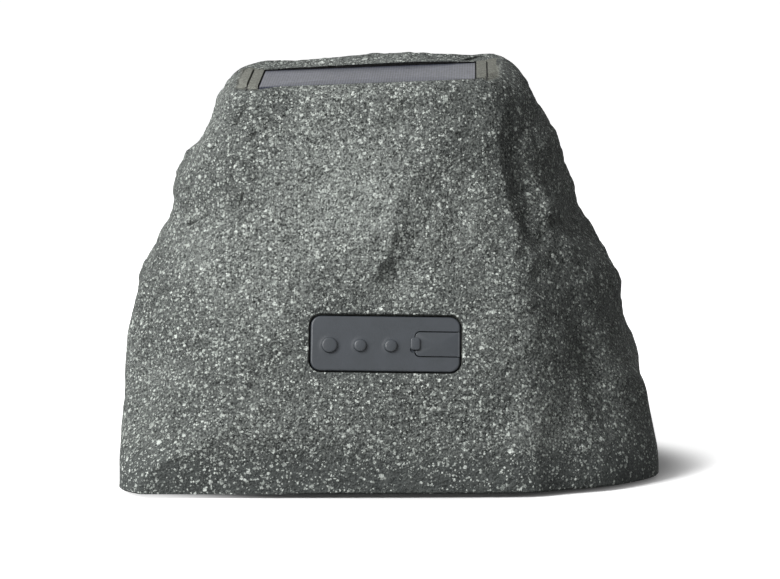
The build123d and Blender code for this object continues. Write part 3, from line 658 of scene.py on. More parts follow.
def combine(piece, others, operation):
    """The piece with other closed pieces joined to it, cut from it or met with it; the others go."""
    for other in others:
        cut = piece.modifiers.new("combine", "BOOLEAN")
        cut.solver = "MANIFOLD"
        cut.operation = operation
        cut.object = other
        graph = bpy.context.evaluated_depsgraph_get()
        made = bpy.data.meshes.new_from_object(piece.evaluated_get(graph))
        piece.modifiers.clear()
        spent = piece.data
        piece.data = made
        bpy.data.meshes.remove(spent)
        spent = other.data
        bpy.data.objects.remove(other)
        bpy.data.meshes.remove(spent)
    piece.data.name = piece.name
    return piece


def smooth_faces(piece, sharp_degrees):
    """Smooth shading, with edges left sharp where faces meet at more than some degrees."""
    mesh = piece.data
    mesh.polygons.foreach_set("use_smooth", np.ones(len(mesh.polygons), bool))
    mesh.set_sharp_from_angle(angle=math.radians(sharp_degrees))
    return piece


corner_steps = 10
round_steps = 5
least_corner = 0.02


def rounded_outline(half_length, half_wide, radii, inset):
    """Four corner arcs, counterclockwise from the right: centre plus radius times (cos, sin)."""
    turn = np.linspace(0.0, math.pi / 2, corner_steps)
    corners = []
    for quarter, radius in enumerate(np.broadcast_to(radii, 4)):
        side_x = 1.0 if quarter in (0, 3) else -1.0
        side_y = 1.0 if quarter in (0, 1) else -1.0
        angle = turn + quarter * math.pi / 2
        arc = max(radius - inset, least_corner)
        x = side_x * (half_length - inset - arc) + arc * np.cos(angle)
        y = side_y * (half_wide - inset - arc) + arc * np.sin(angle)
        corners.append(np.stack([x, y], axis=-1))
    return np.concatenate(corners)


def slab(name, place, size, radii, stations, centre=(0.0, 0.0)):
    """A plate with a rounded rectangle outline, drawn in by each station's inset at its height."""
    rings = []
    for inset, height in stations:
        flat = rounded_outline(size[0] / 2, size[1] / 2, radii, inset) + np.array(centre)
        rings.append(np.column_stack([flat, np.full(len(flat), height)]))
    return ring_piece(name, put(np.array(rings), place))


def round_top(low, high, radius):
    """Stations of a plate with a quarter round along its upper edge: r(1 - cos t) in, r sin t up."""
    turn = np.linspace(0.0, math.pi / 2, round_steps)
    edge = [(radius * (1.0 - math.cos(t)), high - radius + radius * math.sin(t)) for t in turn]
    return [(0.0, low)] + edge


def turned_piece(name, place, profile, columns, centre=(0.0, 0.0)):
    """A body turned about the local Z axis: each profile point's radius swept through a full circle."""
    angle = np.linspace(0.0, 2.0 * math.pi, columns, endpoint=False)
    radius = np.array([point[0] for point in profile])[:, None]
    height = np.array([point[1] for point in profile])[:, None]
    x = centre[0] + radius * np.cos(angle)
    y = centre[1] + radius * np.sin(angle)
    return ring_piece(name, put(np.stack([x, y, height + 0.0 * x], axis=-1), place))


def rod(name, place, radius, low, high, columns, centre=(0.0, 0.0)):
    """A plain round bar along the local Z axis."""
    return turned_piece(name, place, [(radius, low), (radius, high)], columns, centre)


# Rock skin

rock_columns = 470
rock_rows = 148
front_crowding = 0.36
shoulder_rings = 12
top_shares = np.concatenate([np.linspace(0.985, 0.70, 16), np.linspace(0.64, 0.10, 6)])
under_shares = np.array([0.3, 0.8, 0.975])
foot_chamfer = 0.8
foot_edge_share = np.array([0.994, 0.993, 1.0])
relief_start = 4.0


def foot_flare(facing, level):
    """Share by which the front corners of the foot come forward, a bell across each that fades upwards."""
    flare = 0.0
    for looks, spread, rise in foot_corners:
        bell = np.exp(-(turn_from(facing, looks) / spread) ** 2 - (level / foot_corner_level) ** 2)
        flare = flare + rise / half_depth * bell
    return flare


def rock_grid():
    """Facing crowded towards the front, f = u - c sin u, by level, then in across the top to its middle."""
    u = np.linspace(0.0, 2.0 * math.pi, rock_columns, endpoint=False)
    facing = u - front_crowding * np.sin(u) - math.pi / 2
    shoulder_level = 1.0 - shoulder_radius / body_span
    turn = np.radians(np.linspace(0.0, 90.0, shoulder_rings))[1:]
    shoulder = shoulder_level + (1.0 - shoulder_level) * np.sin(turn)
    level = np.concatenate([np.linspace(0.0, shoulder_level, rock_rows), shoulder])
    rings = boulder_rings(facing, level, np.zeros(len(level)))
    rings[..., 1] *= 1.0 + foot_flare(facing[None, :], level[:, None])
    top = rings[-1] * top_shares[:, None, None]
    top[..., 2] = top_height + roll_slope * top[..., 0] + pitch_slope * top[..., 1]
    under = rings[0] * under_shares[:, None, None]
    under[..., 2] = foot_height
    rings[0, :, 2] += foot_chamfer
    edge = rings[0] * foot_edge_share
    edge[:, 2] = foot_height
    return np.concatenate([under, edge[None], rings, top])


def outward_of(grid):
    """Unit normals of a grid from the cross product of its differences along rows and columns."""
    along = np.roll(grid, -1, axis=1) - np.roll(grid, 1, axis=1)
    up = np.gradient(grid, axis=0)
    normal = np.cross(along, up)
    return normal / np.maximum(np.linalg.norm(normal, axis=-1, keepdims=True), 1e-9)


# Bells on the top behind the solar panel: rise, then the middle and spread to the side and to the back.
top_bells = (
    (2.3, -2.0, 26.0, 46.0, 16.0),
    (-1.4, 42.0, 18.0, 46.0, 26.0),
)
top_climb = (150.0, 30.0)


def top_swell(points):
    """A low hump behind the solar panel, a slight fall to its right, and the fall at the panel's edge."""
    x, y, z = np.moveaxis(points, -1, 0)
    lift = 0.0
    for rise, side, wide, back, deep in top_bells:
        lift = lift + rise * np.exp(-((x - side) / wide) ** 2 - ((y - back) / deep) ** 2)
    return lift * ramp_up(z, *top_climb) - back_fall * behind_solar(points)


def rock_outside():
    """The boulder's closed outside, its relief along the normals, held inside its width and depth."""
    grid = rock_grid()
    lift = stone_relief(grid) * ramp_up(grid[..., 2], foot_height, relief_start)
    grid = grid + outward_of(grid) * lift[..., None]
    grid[..., 2] += top_swell(grid)
    grid[..., 0] = np.clip(grid[..., 0], -half_width, half_width)
    grid[..., 1] = np.clip(grid[..., 1], -half_depth, half_depth)
    return ring_piece("rock_skin", grid)


hollow_columns = 120
hollow_rings = 30
hollow_start = -0.02
rock_sharp = 52.0


def rock_hollow():
    """The space inside: rings an even wall in from the boulder, narrowed at the ledge over the base."""
    facing = np.linspace(0.0, 2.0 * math.pi, hollow_columns, endpoint=False)
    narrow = wall + ledge_width
    ledge = ((ledge_low, wall), (ledge_low, narrow), (ledge_top, narrow), (ledge_top, wall))
    roof = 1.0 - roof_drop / body_span
    heights = np.array([(height - foot_height) / body_span for height, inset in ledge])
    level = np.concatenate([[hollow_start], heights, np.linspace(heights[-1], roof, hollow_rings)[1:]])
    upper = np.full(hollow_rings - 1, wall + relief_room)
    inset = np.concatenate([[wall], [inset for height, inset in ledge], upper])
    grid = boulder_rings(facing, level, inset)
    grid = grid + outward_of(grid) * front_crest(grid)[..., None]
    return ring_piece("hollow", grid)


# How far cutting bodies run past what they cut, inside the wall and clear of the stone.
overlap = 1.0
seat_out = 12.0
cut_out = 25.0

# Lip of the window and the grille opening: how far in and how high, flaring out to the stone.
opening_lip = ((0.0, -0.9), (-0.06, -0.5), (-0.22, -0.15), (-0.6, 0.2), (-0.6, cut_out))
seat_corner = 1.0
groove_corner = 0.1


def screw_bosses():
    """Round bosses for the base screws, a set way in from the wall."""
    facing = np.radians(np.array(boss_facings))
    level = np.full(len(boss_facings), (ledge_low - foot_height) / body_span)
    start, way = stretch(facing, level)
    points = start + boulder_reach(facing, level)[:, None] * way
    length = np.hypot(points[:, 0], points[:, 1])
    points = points * (1.0 - (wall + boss_inset) / length)[:, None]
    floor = local_frame((0.0, 0.0, 0.0), (1.0, 0.0, 0.0), (0.0, 0.0, 1.0))
    low = ledge_low - overlap
    return [rod("boss", floor, boss_radius, low, ledge_low + boss_height, 24, (x, y)) for x, y, z in points]


def rock_cuts():
    """Window and grille opening with flared lips, solar pocket, the steps beside it and their grooves."""
    lip = ((0.0, -seat_depth - overlap),) + opening_lip
    window = slab("window", panel, (window_length, window_width), window_corner, lip)
    flare = [(grille_opening - inset, height) for inset, height in opening_lip]
    opening = turned_piece("opening", driver, [(grille_opening, cloth_back)] + flare, 120)
    throat = rod("throat", driver, sound_opening, -driver_seat_depth - overlap, -overlap, 96)
    pocket_stations = ((0.0, solar_floor), (0.0, cut_out))
    cuts = [window, opening, throat]
    cuts.append(slab("pocket", solar, (pocket_length, pocket_width), pocket_corner, pocket_stations))
    band_length = pocket_length + 2 * solar_band_width
    steps = ((pocket_length, 0.0), (band_length, solar_band_rise), (2 * bands_half_length, solar_outer_rise))
    width = pocket_width + solar_front_run
    forward = -solar_front_run / 2
    for length, height in steps:
        stations = ((0.0, height), (0.0, cut_out))
        cuts.append(slab("strip", solar, (length, width), pocket_corner, stations, (0.0, forward)))
    stations = ((0.0, solar_band_rise - groove_depth), (0.0, cut_out))
    for side in (-band_length / 2, band_length / 2):
        cuts.append(slab("groove", solar, (groove_width, width), groove_corner, stations, (side, forward)))
    return cuts


def rock_skin():
    """The outside, less the hollow with its seats left standing, less the openings."""
    hollow = rock_hollow()
    seat_size = (window_length + 2 * seat_lip, window_width + 2 * seat_lip)
    seat = slab("seat", panel, seat_size, seat_corner, ((0.0, -seat_depth), (0.0, seat_out)))
    ring = rod("ring", driver, driver_seat_radius, -driver_seat_depth, seat_out, 96)
    combine(hollow, [seat, ring] + screw_bosses(), "DIFFERENCE")
    skin = combine(rock_outside(), [hollow] + rock_cuts(), "DIFFERENCE")
    return smooth_faces(skin, rock_sharp)


# Marks on the rock: least edge length, gain of the painted shade in creases, and how much the bands lose of
# it.
least_edge = 0.05
crease_shade_gain = 2.2
band_crease_shade_loss = 0.7
band_bareness = 0.7


def read(items, name, width, kind=float):
    """A property of all a mesh's points, edges or faces, as rows of some width."""
    values = np.empty(len(items) * width, kind)
    items.foreach_get(name, values)
    return values.reshape(-1, width)


def edge_curve(piece, rounds):
    """How far each point lies below (+) or above (-) its neighbours along its normal, spread by rounds."""
    mesh = piece.data
    count = len(mesh.vertices)
    spots = read(mesh.vertices, "co", 3) / MILLIMETRE
    normals = read(mesh.vertex_normals, "vector", 3)
    first, second = read(mesh.edges, "vertices", 2, int).T
    ends = np.concatenate([first, second])
    others = np.concatenate([second, first])
    number = np.maximum(np.bincount(ends, minlength=count), 1)
    gap = spots[others] - spots[ends]
    slope = (gap * normals[ends]).sum(axis=1) / np.maximum(np.linalg.norm(gap, axis=1), least_edge)
    curve = np.bincount(ends, weights=slope, minlength=count) / number
    for _ in range(rounds):
        spread = np.bincount(ends, weights=curve[others], minlength=count) / number
        curve = 0.5 * curve + 0.5 * spread
    return spots, curve


def mark(piece, name, values, domain="POINT"):
    """A number for each point or face of a piece, for its material to read."""
    layer = piece.data.attributes.new(name, "FLOAT", domain)
    layer.data.foreach_set("value", np.asarray(values, np.float32))


# Where the bare wall of an opening ends: start and run across its edge.
bare_edge = (-0.35, 0.7)

# Faces that count as upright, slack round the pocket's wall and in the groove, the groove's painted shade.
upright_share = 0.5
pocket_slack = 0.4
groove_slack = 0.1
groove_reach = 0.6
groove_shade = 0.8


def painted_wall_shade(piece):
    """Painted shade: one for each upright face round the solar panel, less in the grooves, nothing for the
    others.
    """
    faces = piece.data.polygons
    x, y, z = seen_from(read(faces, "center", 3) / MILLIMETRE, solar).T
    upright = np.abs(read(faces, "normal", 3) @ solar[3]) < upright_share
    beyond = beyond_rectangle(x, y, pocket_length / 2, pocket_width / 2, pocket_corner)
    in_groove = np.abs(np.abs(x) - pocket_length / 2 - solar_band_width) < groove_reach * groove_width
    in_groove &= (z < solar_band_rise - groove_slack) & (np.abs(y) < pocket_width / 2)
    dark = np.maximum((np.abs(beyond) < pocket_slack) & upright, groove_shade * in_groove)
    return dark * (np.abs(z) < pocket_reach)


def mark_rock(piece):
    """Painted shade in creases and on the pocket's walls, bare stone, fine tooth, and the share of pale
    specks with painted light and shade, from where each point is.
    """
    spots, curve = edge_curve(piece, 2)
    bands = on_bands(spots)
    # Painted shade in creases, from how far each point lies below its neighbours.
    mark(piece, "crease_shade", np.clip(curve * crease_shade_gain, -1.0, 1.0) * (1.0 - band_crease_shade_loss * bands))
    # Painted shade on the upright walls round the solar panel and in its grooves.
    mark(piece, "shade", painted_wall_shade(piece), "FACE")
    window_wall = 1.0 - ramp_up(near_panel(spots), *bare_edge)
    grille_wall = 1.0 - ramp_up(near_grille(spots), *bare_edge)
    mark(piece, "bare", np.maximum(np.maximum(band_bareness * bands, window_wall), grille_wall))
    mark(piece, "rough", tooth_left(spots))
    # Share of pale specks, with painted light on the upper front and painted shade on the right.
    mark(piece, "crowd_with_light_and_shade", speck_share_with_light_and_shade(spots))


# Control panel pieces

buttons = {
    "power_button": (power_button_x, power_button_radius, 0.72),
    "light_button": (power_button_x + button_spacing, small_button_radius, 0.58),
    "pair_button": (power_button_x + 2 * button_spacing, small_button_radius, 0.58),
}
pad_round = 1.1
pad_columns = 230
pad_rows = 90
field_drop = 0.03
cut_above = 3.0
mound_height = 0.15
mound_spread = 0.9
soft_sharp = 35.0

# The flap's bay, its lip as inset and height above the pad, and the thumb notch as radius and height.
bay_spare = 4.0
bay_end_corner = 0.1
bay_lip = ((0.0, -0.35), (-0.1, -0.1), (-0.3, 0.1), (-0.3, 4.2))
notch_form = ((0.2, -0.7), (1.0, -0.5), (1.5, 0.0), (1.9, 0.5))
notch_centre = (flap_left - 1.0, -2.6)

# Soft buttons: gap round them, straight part above the pad, dome of the top and its rings.
button_clearance = 0.03
button_straight = 0.45
button_dome = 0.08
dome_shares = (0.8, 0.55, 0.3, 0.1)
shoulder_steps = 9
button_sharp = 60.0

# Port flap
flap_edge_round = 0.35
flap_hinge_corner = 0.05
tab_edge_round = 0.45
tab_corner = 1.3
tab_low = 0.2
root_corner = 0.5
root_start = 0.1
plug_corner = 1.5
plug_chamfer = 0.4
plug_overlap = 0.2


def pad_skin():
    """The pad: a height field with a bell-shaped mound round each button, met with a rounded outline."""
    x = np.linspace(-pad_length / 2 - overlap, pad_length / 2 + overlap, pad_columns)
    y = np.linspace(-pad_width / 2 - overlap, pad_width / 2 + overlap, pad_rows)
    x, y = np.meshgrid(x, y)
    low = pad_back - overlap
    high = pad_face + cut_above
    rise = 0.0 * x
    holes = []
    for middle, radius, flat in buttons.values():
        away = np.maximum(np.hypot(x - middle, y - button_row_y) - radius, 0.0)
        rise = np.maximum(rise, mound_height * np.exp(-(away / mound_spread) ** 2))
        holes.append(rod("hole", panel, radius + button_clearance, low, high, 64, (middle, button_row_y)))
    field = np.stack([x, y, pad_face - field_drop + rise], axis=-1)
    under = field[::-1].copy()
    under[..., 2] = pad_back
    loops = np.concatenate([field, under]).transpose(1, 0, 2)
    pad = ring_piece("pad_skin", put(loops[::-1], panel))
    edge = round_top(low, pad_face, pad_round) + [(pad_round, high)]
    outline = slab("outline", panel, (pad_length, pad_width), pad_corner, edge)
    combine(pad, [outline], "INTERSECT")
    bay_size = (flap_length + bay_spare, flap_width + 2 * flap_gap)
    bay_centre = (flap_left - flap_gap + bay_size[0] / 2, 0.0)
    bay_corner = flap_corner + flap_gap
    bay_corners = (bay_end_corner, bay_corner, bay_corner, bay_end_corner)
    bay_edge = [(0.0, low)] + [(inset, pad_face + height) for inset, height in bay_lip]
    bay = slab("bay", panel, bay_size, bay_corners, bay_edge, bay_centre)
    notch_profile = [(radius, pad_face + height) for radius, height in notch_form]
    notch = turned_piece("notch", panel, notch_profile, 32, notch_centre)
    combine(pad, [bay, notch] + holes, "DIFFERENCE")
    return smooth_faces(pad, soft_sharp)


def button_skin(name):
    """A soft button: a straight foot, an elliptical shoulder r = t + (R - t) cos a, a faintly domed top."""
    middle, radius, flat = buttons[name]
    turn = np.linspace(0.0, math.pi / 2, shoulder_steps)
    crown = pad_face + button_rise
    low = pad_face + button_straight
    top_radius = radius * flat
    across = top_radius + (radius - top_radius) * np.cos(turn)
    height = low + (crown - button_dome - low) * np.sin(turn)
    profile = [(radius, pad_face - button_foot + 1.0), (radius, low - 0.1)] + list(zip(across, height))
    profile += [(top_radius * share, crown - button_dome * share ** 2) for share in dome_shares]
    piece = turned_piece(name + "_skin", panel, profile, 72, (middle, button_row_y))
    return smooth_faces(piece, button_sharp)


def flap_skin():
    """The port flap: a plate with softened edges, a finger tab, a plug behind and a bead at the hinge."""
    hinge_x = flap_right - flap_bead_radius
    plate_length = hinge_x - flap_left
    plate_low = pad_face - flap_thickness
    plate_x = flap_left + plate_length / 2
    plate_corners = (flap_hinge_corner, flap_corner, flap_corner, flap_hinge_corner)
    plate_edge = round_top(plate_low, pad_face, flap_edge_round)
    plate = slab("flap_skin", panel, (plate_length, flap_width), plate_corners, plate_edge, (plate_x, 0.0))
    bead_frame = local_frame(put((hinge_x, 0.0, pad_face - flap_bead_radius), panel), panel[1], panel[2])
    bead = rod("bead", bead_frame, flap_bead_radius, -flap_width / 2, flap_width / 2, 40)
    tab_x = flap_left - tab_overhang + tab_length / 2
    tab_edge = round_top(pad_face + tab_low, pad_face + tab_rise, tab_edge_round)
    tab = slab("tab", panel, (tab_length, tab_width), tab_corner, tab_edge, (tab_x, 0.0))
    root_size = (tab_length - tab_overhang, tab_width - 1.0)
    root_edge = ((0.0, pad_face - flap_thickness / 2), (0.0, pad_face + tab_rise / 2))
    root_x = flap_left + root_size[0] / 2 + root_start
    root = slab("root", panel, root_size, root_corner, root_edge, (root_x, 0.0))
    tip = pad_back - plug_depth
    plug_edge = ((plug_chamfer, tip), (0.0, tip + plug_chamfer), (0.0, plate_low + plug_overlap))
    plug_x = flap_left + socket_from_tab
    plug = slab("plug", panel, (plug_length, plug_width), plug_corner, plug_edge, (plug_x, 0.0))
    combine(plate, [bead, tab, root, plug], "UNION")
    return smooth_faces(plate, soft_sharp)


def solar_face():
    """The panel's face: a thin plate with softened edges, level with its plane."""
    edge = round_top(solar_board_top, 0.0, solar_edge_round)
    face = slab("solar_face", solar, (solar_length, solar_width), solar_corner, edge)
    return smooth_faces(face, soft_sharp)


# Shader groups

def srgb(red, green, blue):
    """A colour written as screen values from 0 to 255, as light: ((c + 0.055) / 1.055)^2.4."""
    share = np.array([red, green, blue]) / 255.0
    light = np.where(share > 0.04045, ((share + 0.055) / 1.055) ** 2.4, share / 12.92)
    return tuple(float(v) for v in light) + (1.0,)


class Nodes:
    """A short hand for adding nodes to a tree and joining them."""

    def __init__(self, tree):
        self.tree = tree

    def add(self, kind, values=None, **settings):
        node = self.tree.nodes.new(kind)
        for name, value in settings.items():
            setattr(node, name, value)
        for name, value in (values or {}).items():
            self.feed(node.inputs[name], value)
        return node

    def feed(self, socket, value):
        if isinstance(value, bpy.types.NodeSocket):
            self.tree.links.new(value, socket)
        else:
            socket.default_value = value

    def math(self, operation, first, second=0.0, third=0.0):
        node = self.add("ShaderNodeMath", {0: first, 1: second, 2: third}, operation=operation)
        return node.outputs[0]

    def vector(self, operation, first, second=None, scale=None):
        values = {0: first}
        if second is not None:
            values[1] = second
        if scale is not None:
            values["Scale"] = scale
        node = self.add("ShaderNodeVectorMath", values, operation=operation)
        return node.outputs["Value" if operation == "LENGTH" else "Vector"]

    def times(self, first, second):
        return self.math("MULTIPLY", first, second)

    def mix(self, share, first, second):
        node = self.add("ShaderNodeMix", data_type="RGBA")
        self.feed(node.inputs[0], share)
        self.feed(node.inputs[6], first)
        self.feed(node.inputs[7], second)
        return node.outputs[2]

    def ramp(self, value, low, high, to_low=0.0, to_high=1.0):
        values = {"Value": value, "From Min": low, "From Max": high, "To Min": to_low, "To Max": to_high}
        return self.add("ShaderNodeMapRange", values, interpolation_type="SMOOTHSTEP").outputs["Result"]

    def noise(self, vector, scale, detail=2.0, rough=0.5):
        values = {"Vector": vector, "Scale": scale, "Detail": detail, "Roughness": rough}
        return self.add("ShaderNodeTexNoise", values)


def new_group(name, inputs, outputs):
    """An empty shader group with named inputs (type and default) and outputs (type)."""
    tree = bpy.data.node_groups.new(name, "ShaderNodeTree")
    for label, (kind, value) in inputs.items():
        socket = tree.interface.new_socket(label, in_out="INPUT", socket_type=kind)
        if value is not None:
            socket.default_value = value
    for label, kind in outputs.items():
        tree.interface.new_socket(label, in_out="OUTPUT", socket_type=kind)
    nodes = Nodes(tree)
    return tree, nodes, nodes.add("NodeGroupInput").outputs, nodes.add("NodeGroupOutput").inputs


white = (1.0, 1.0, 1.0, 1.0)
FLOAT = "NodeSocketFloat"
VECTOR = "NodeSocketVector"


def speck_group():
    """Irregular specks: cells of a Voronoi pattern, warped by noise, cut at a radius of each cell's own."""
    inputs = {
        "Vector": (VECTOR, None),
        "Size": (FLOAT, 0.003),
        "Share": (FLOAT, 0.5),
        "Least": (FLOAT, 0.12),
        "Most": (FLOAT, 0.42),
        "Warp": (FLOAT, 0.35),
    }
    tree, nodes, given, made = new_group("specks", inputs, {"Mask": FLOAT, "Tint": FLOAT})
    scale = nodes.math("DIVIDE", 1.0, given["Size"])
    cells = nodes.vector("SCALE", given["Vector"], scale=scale)
    noise = nodes.noise(cells, 2.3, 2.0, 0.6)
    shift = nodes.vector("SUBTRACT", noise.outputs["Color"], (0.5, 0.5, 0.5))
    warped = nodes.vector("ADD", cells, nodes.vector("SCALE", shift, scale=given["Warp"]))
    voronoi = nodes.add("ShaderNodeTexVoronoi", {"Vector": warped, "Scale": 1.0}, feature="F1")
    dice = nodes.add("ShaderNodeSeparateColor", {0: voronoi.outputs["Color"]}).outputs
    spread = nodes.math("SUBTRACT", given["Most"], given["Least"])
    squared = nodes.times(dice[0], dice[0])
    radius = nodes.math("MULTIPLY_ADD", squared, spread, given["Least"])
    depth = nodes.math("SUBTRACT", radius, voronoi.outputs["Distance"])
    mask = nodes.ramp(depth, -0.05, 0.06)
    chosen = nodes.math("LESS_THAN", dice[1], given["Share"])
    nodes.feed(made["Mask"], nodes.times(mask, chosen))
    nodes.feed(made["Tint"], dice[2])
    return tree


def grain_group():
    """Fine tooth of a surface: fractal noise of a set grain size, and a broad mottle beside it."""
    inputs = {"Vector": (VECTOR, None), "Size": (FLOAT, 0.001), "Patch": (FLOAT, 0.02)}
    tree, nodes, given, made = new_group("fine_grain", inputs, {"Height": FLOAT, "Mottle": FLOAT})
    grain = nodes.noise(given["Vector"], nodes.math("DIVIDE", 1.0, given["Size"]), 3.0, 0.6)
    patch = nodes.noise(given["Vector"], nodes.math("DIVIDE", 1.0, given["Patch"]), 3.0, 0.55)
    nodes.feed(made["Height"], grain.outputs["Fac"])
    nodes.feed(made["Mottle"], nodes.ramp(patch.outputs["Fac"], 0.3, 0.7))
    return tree


SPECKS = speck_group()
GRAIN = grain_group()


def new_material(name, **constants):
    """A material with a Principled shader, its constants set on the shader's own sockets."""
    material = bpy.data.materials.new(name)
    material.use_nodes = True
    nodes = Nodes(material.node_tree)
    shader = material.node_tree.nodes["Principled BSDF"]
    for label, value in constants.items():
        shader.inputs[label.replace("_", " ")].default_value = value
    place = nodes.add("ShaderNodeTexCoord").outputs["Object"]
    return material, nodes, shader.inputs, place


def bump(nodes, height, distance):
    """A normal from a height times a distance in metres."""
    values = {"Height": height, "Distance": distance, "Strength": 1.0}
    return nodes.add("ShaderNodeBump", values).outputs["Normal"]


def attribute(nodes, name):
    """A number stored on the points or faces of the piece."""
    return nodes.add("ShaderNodeAttribute", attribute_name=name).outputs["Fac"]


def group_node(nodes, tree, values):
    """A group placed in a material with values of its own."""
    node = nodes.add("ShaderNodeGroup", node_tree=tree)
    for label, value in values.items():
        nodes.feed(node.inputs[label], value)
    return node.outputs


# Pale splashes on the stone: cell size in metres, share of cells, least and most radius.
stone_splashes = (
    (0.0010, 1.20, 0.14, 0.58),
    (0.0015, 1.45, 0.10, 0.54),
    (0.0024, 1.15, 0.08, 0.46),
    (0.0042, 0.45, 0.05, 0.36),
)


def speckled_stone():
    """Stone paint: mottled ground, paler where the specks crowd and where light is painted, clusters of pits
    with painted shade, pale splashes, painted shade in creases and on the pocket's walls, bare smooth bands.
    """
    material, nodes, shader, place = new_material("speckled_stone", Specular_IOR_Level=0.1)
    crease_shade = attribute(nodes, "crease_shade")
    bare = attribute(nodes, "bare")
    rough = attribute(nodes, "rough")
    crowd_with_light_and_shade = attribute(nodes, "crowd_with_light_and_shade")
    open_stone = nodes.math("SUBTRACT", 1.0, bare)
    grain = group_node(nodes, GRAIN, {"Vector": place, "Size": 0.0010, "Patch": 0.011})
    tooth = nodes.ramp(grain["Height"], 0.36, 0.64)
    ground = nodes.mix(tooth, srgb(66, 69, 68), srgb(118, 122, 119))
    # Paler ground where the specks crowd: partly the paint's own, partly painted light on the upper front
    # and painted shade on the right.
    dusted_and_lit_ground = nodes.mix(tooth, srgb(90, 93, 91), srgb(168, 173, 169))
    ground = nodes.mix(nodes.ramp(crowd_with_light_and_shade, 0.45, 0.8, 0.0, 0.75), ground, dusted_and_lit_ground)
    calm = nodes.mix(grain["Mottle"], srgb(60, 63, 63), srgb(74, 78, 77))
    colour = nodes.mix(rough, calm, ground)
    crust = group_node(nodes, GRAIN, {"Vector": place, "Size": 0.0034, "Patch": 0.03})
    relief = nodes.math("MULTIPLY_ADD", crust["Height"], 1.5, grain["Height"])
    for size, share, least, most in stone_splashes:
        values = {"Vector": place, "Size": size, "Least": least, "Most": most, "Warp": 1.25}
        layer = group_node(nodes, SPECKS, values | {"Share": nodes.times(crowd_with_light_and_shade, share)})
        pale = nodes.mix(layer["Tint"], srgb(152, 158, 153), srgb(224, 230, 224))
        mask = nodes.times(layer["Mask"], open_stone)
        colour = nodes.mix(mask, colour, pale)
        relief = nodes.math("MULTIPLY_ADD", mask, 0.16, relief)
    values = {"Vector": place, "Size": 0.0012, "Least": 0.10, "Most": 0.52, "Warp": 1.4}
    pits = group_node(nodes, SPECKS, values | {"Share": nodes.ramp(grain["Mottle"], 0.15, 0.75, 0.9, 0.15)})
    # Painted shade in the pits: their cells darkened towards a near-black grey, besides sinking in the bump.
    pit_shade = nodes.times(pits["Mask"], nodes.times(rough, open_stone))
    colour = nodes.mix(nodes.times(pit_shade, 0.8), colour, srgb(40, 42, 41))
    relief = nodes.math("MULTIPLY_ADD", pit_shade, -0.35, relief)
    plain = nodes.mix(tooth, srgb(98, 98, 91), srgb(130, 130, 121))
    colour = nodes.mix(bare, colour, plain)
    # Painted shade: concave creases darkened towards a near-black grey.
    colour = nodes.mix(nodes.ramp(crease_shade, 0.02, 0.45, 0.0, 0.75), colour, srgb(42, 44, 42))
    # Painted shade on the upright walls round the solar panel and in the grooves beside it.
    colour = nodes.mix(attribute(nodes, "shade"), colour, srgb(26, 26, 27))
    nodes.feed(shader["Base Color"], colour)
    nodes.feed(shader["Roughness"], nodes.ramp(grain["Height"], 0.2, 0.8, 0.74, 0.92))
    keen = nodes.times(nodes.math("MULTIPLY_ADD", rough, 0.8, 0.2), open_stone)
    nodes.feed(shader["Normal"], bump(nodes, nodes.times(relief, keen), 0.0019))
    return material


mould_patch = 0.012
gloss_swing = 0.06


def moulded(name, dark, light, roughness, grain_size, tooth, **constants):
    """A moulded or coated finish: two close tones mottled together, and a fine tooth in the gloss."""
    material, nodes, shader, place = new_material(name, **constants)
    grain = group_node(nodes, GRAIN, {"Vector": place, "Size": grain_size, "Patch": mould_patch})
    tone = nodes.mix(grain["Mottle"], srgb(*dark), srgb(*light))
    speck = nodes.ramp(grain["Height"], 0.4, 0.7, 0.0, 0.35)
    nodes.feed(shader["Base Color"], nodes.mix(speck, tone, srgb(*light)))
    gloss = nodes.ramp(grain["Height"], 0.25, 0.75, roughness - gloss_swing, roughness + gloss_swing)
    nodes.feed(shader["Roughness"], gloss)
    nodes.feed(shader["Normal"], bump(nodes, grain["Height"], tooth))
    return material


def solar_cell():
    """Dark blue cells with fine pale fingers across and two bus lines along, in the panel's own frame."""
    material, nodes, shader, place = new_material("solar_cell", Specular_IOR_Level=0.2)
    turn = {"Location": tuple(solar[0] * MILLIMETRE), "Rotation": (0.0, 0.0, math.radians(solar_yaw))}
    local = nodes.add("ShaderNodeMapping", {"Vector": place} | turn, vector_type="TEXTURE").outputs[0]
    axes = nodes.add("ShaderNodeSeparateXYZ", {0: local}).outputs
    finger = nodes.math("PINGPONG", axes["X"], 0.0006)
    finger = nodes.ramp(finger, 0.0001, 0.0004, 1.0, 0.0)
    bus = nodes.math("PINGPONG", nodes.math("ADD", axes["Y"], 0.0135), 0.0135)
    bus = nodes.ramp(bus, 0.0004, 0.0007, 1.0, 0.0)
    grain = group_node(nodes, GRAIN, {"Vector": place, "Size": 0.0016, "Patch": 0.009})
    blue = nodes.mix(grain["Mottle"], srgb(32, 36, 44), srgb(42, 46, 56))
    blue = nodes.mix(nodes.times(finger, 0.25), blue, srgb(118, 120, 138))
    blue = nodes.mix(nodes.times(bus, 0.2), blue, srgb(130, 131, 144))
    nodes.feed(shader["Base Color"], blue)
    nodes.feed(shader["Roughness"], nodes.ramp(grain["Height"], 0.2, 0.8, 0.32, 0.45))
    return material


def clear_resin():
    """A clear satin coat over the cells."""
    material, nodes, shader, place = new_material("clear_resin", IOR=1.48, Transmission_Weight=1.0)
    grain = group_node(nodes, GRAIN, {"Vector": place, "Size": 0.0008, "Patch": 0.01})
    nodes.feed(shader["Base Color"], nodes.mix(grain["Mottle"], (0.93, 0.94, 0.97, 1.0), white))
    nodes.feed(shader["Roughness"], nodes.ramp(grain["Height"], 0.2, 0.8, 0.10, 0.18))
    return material


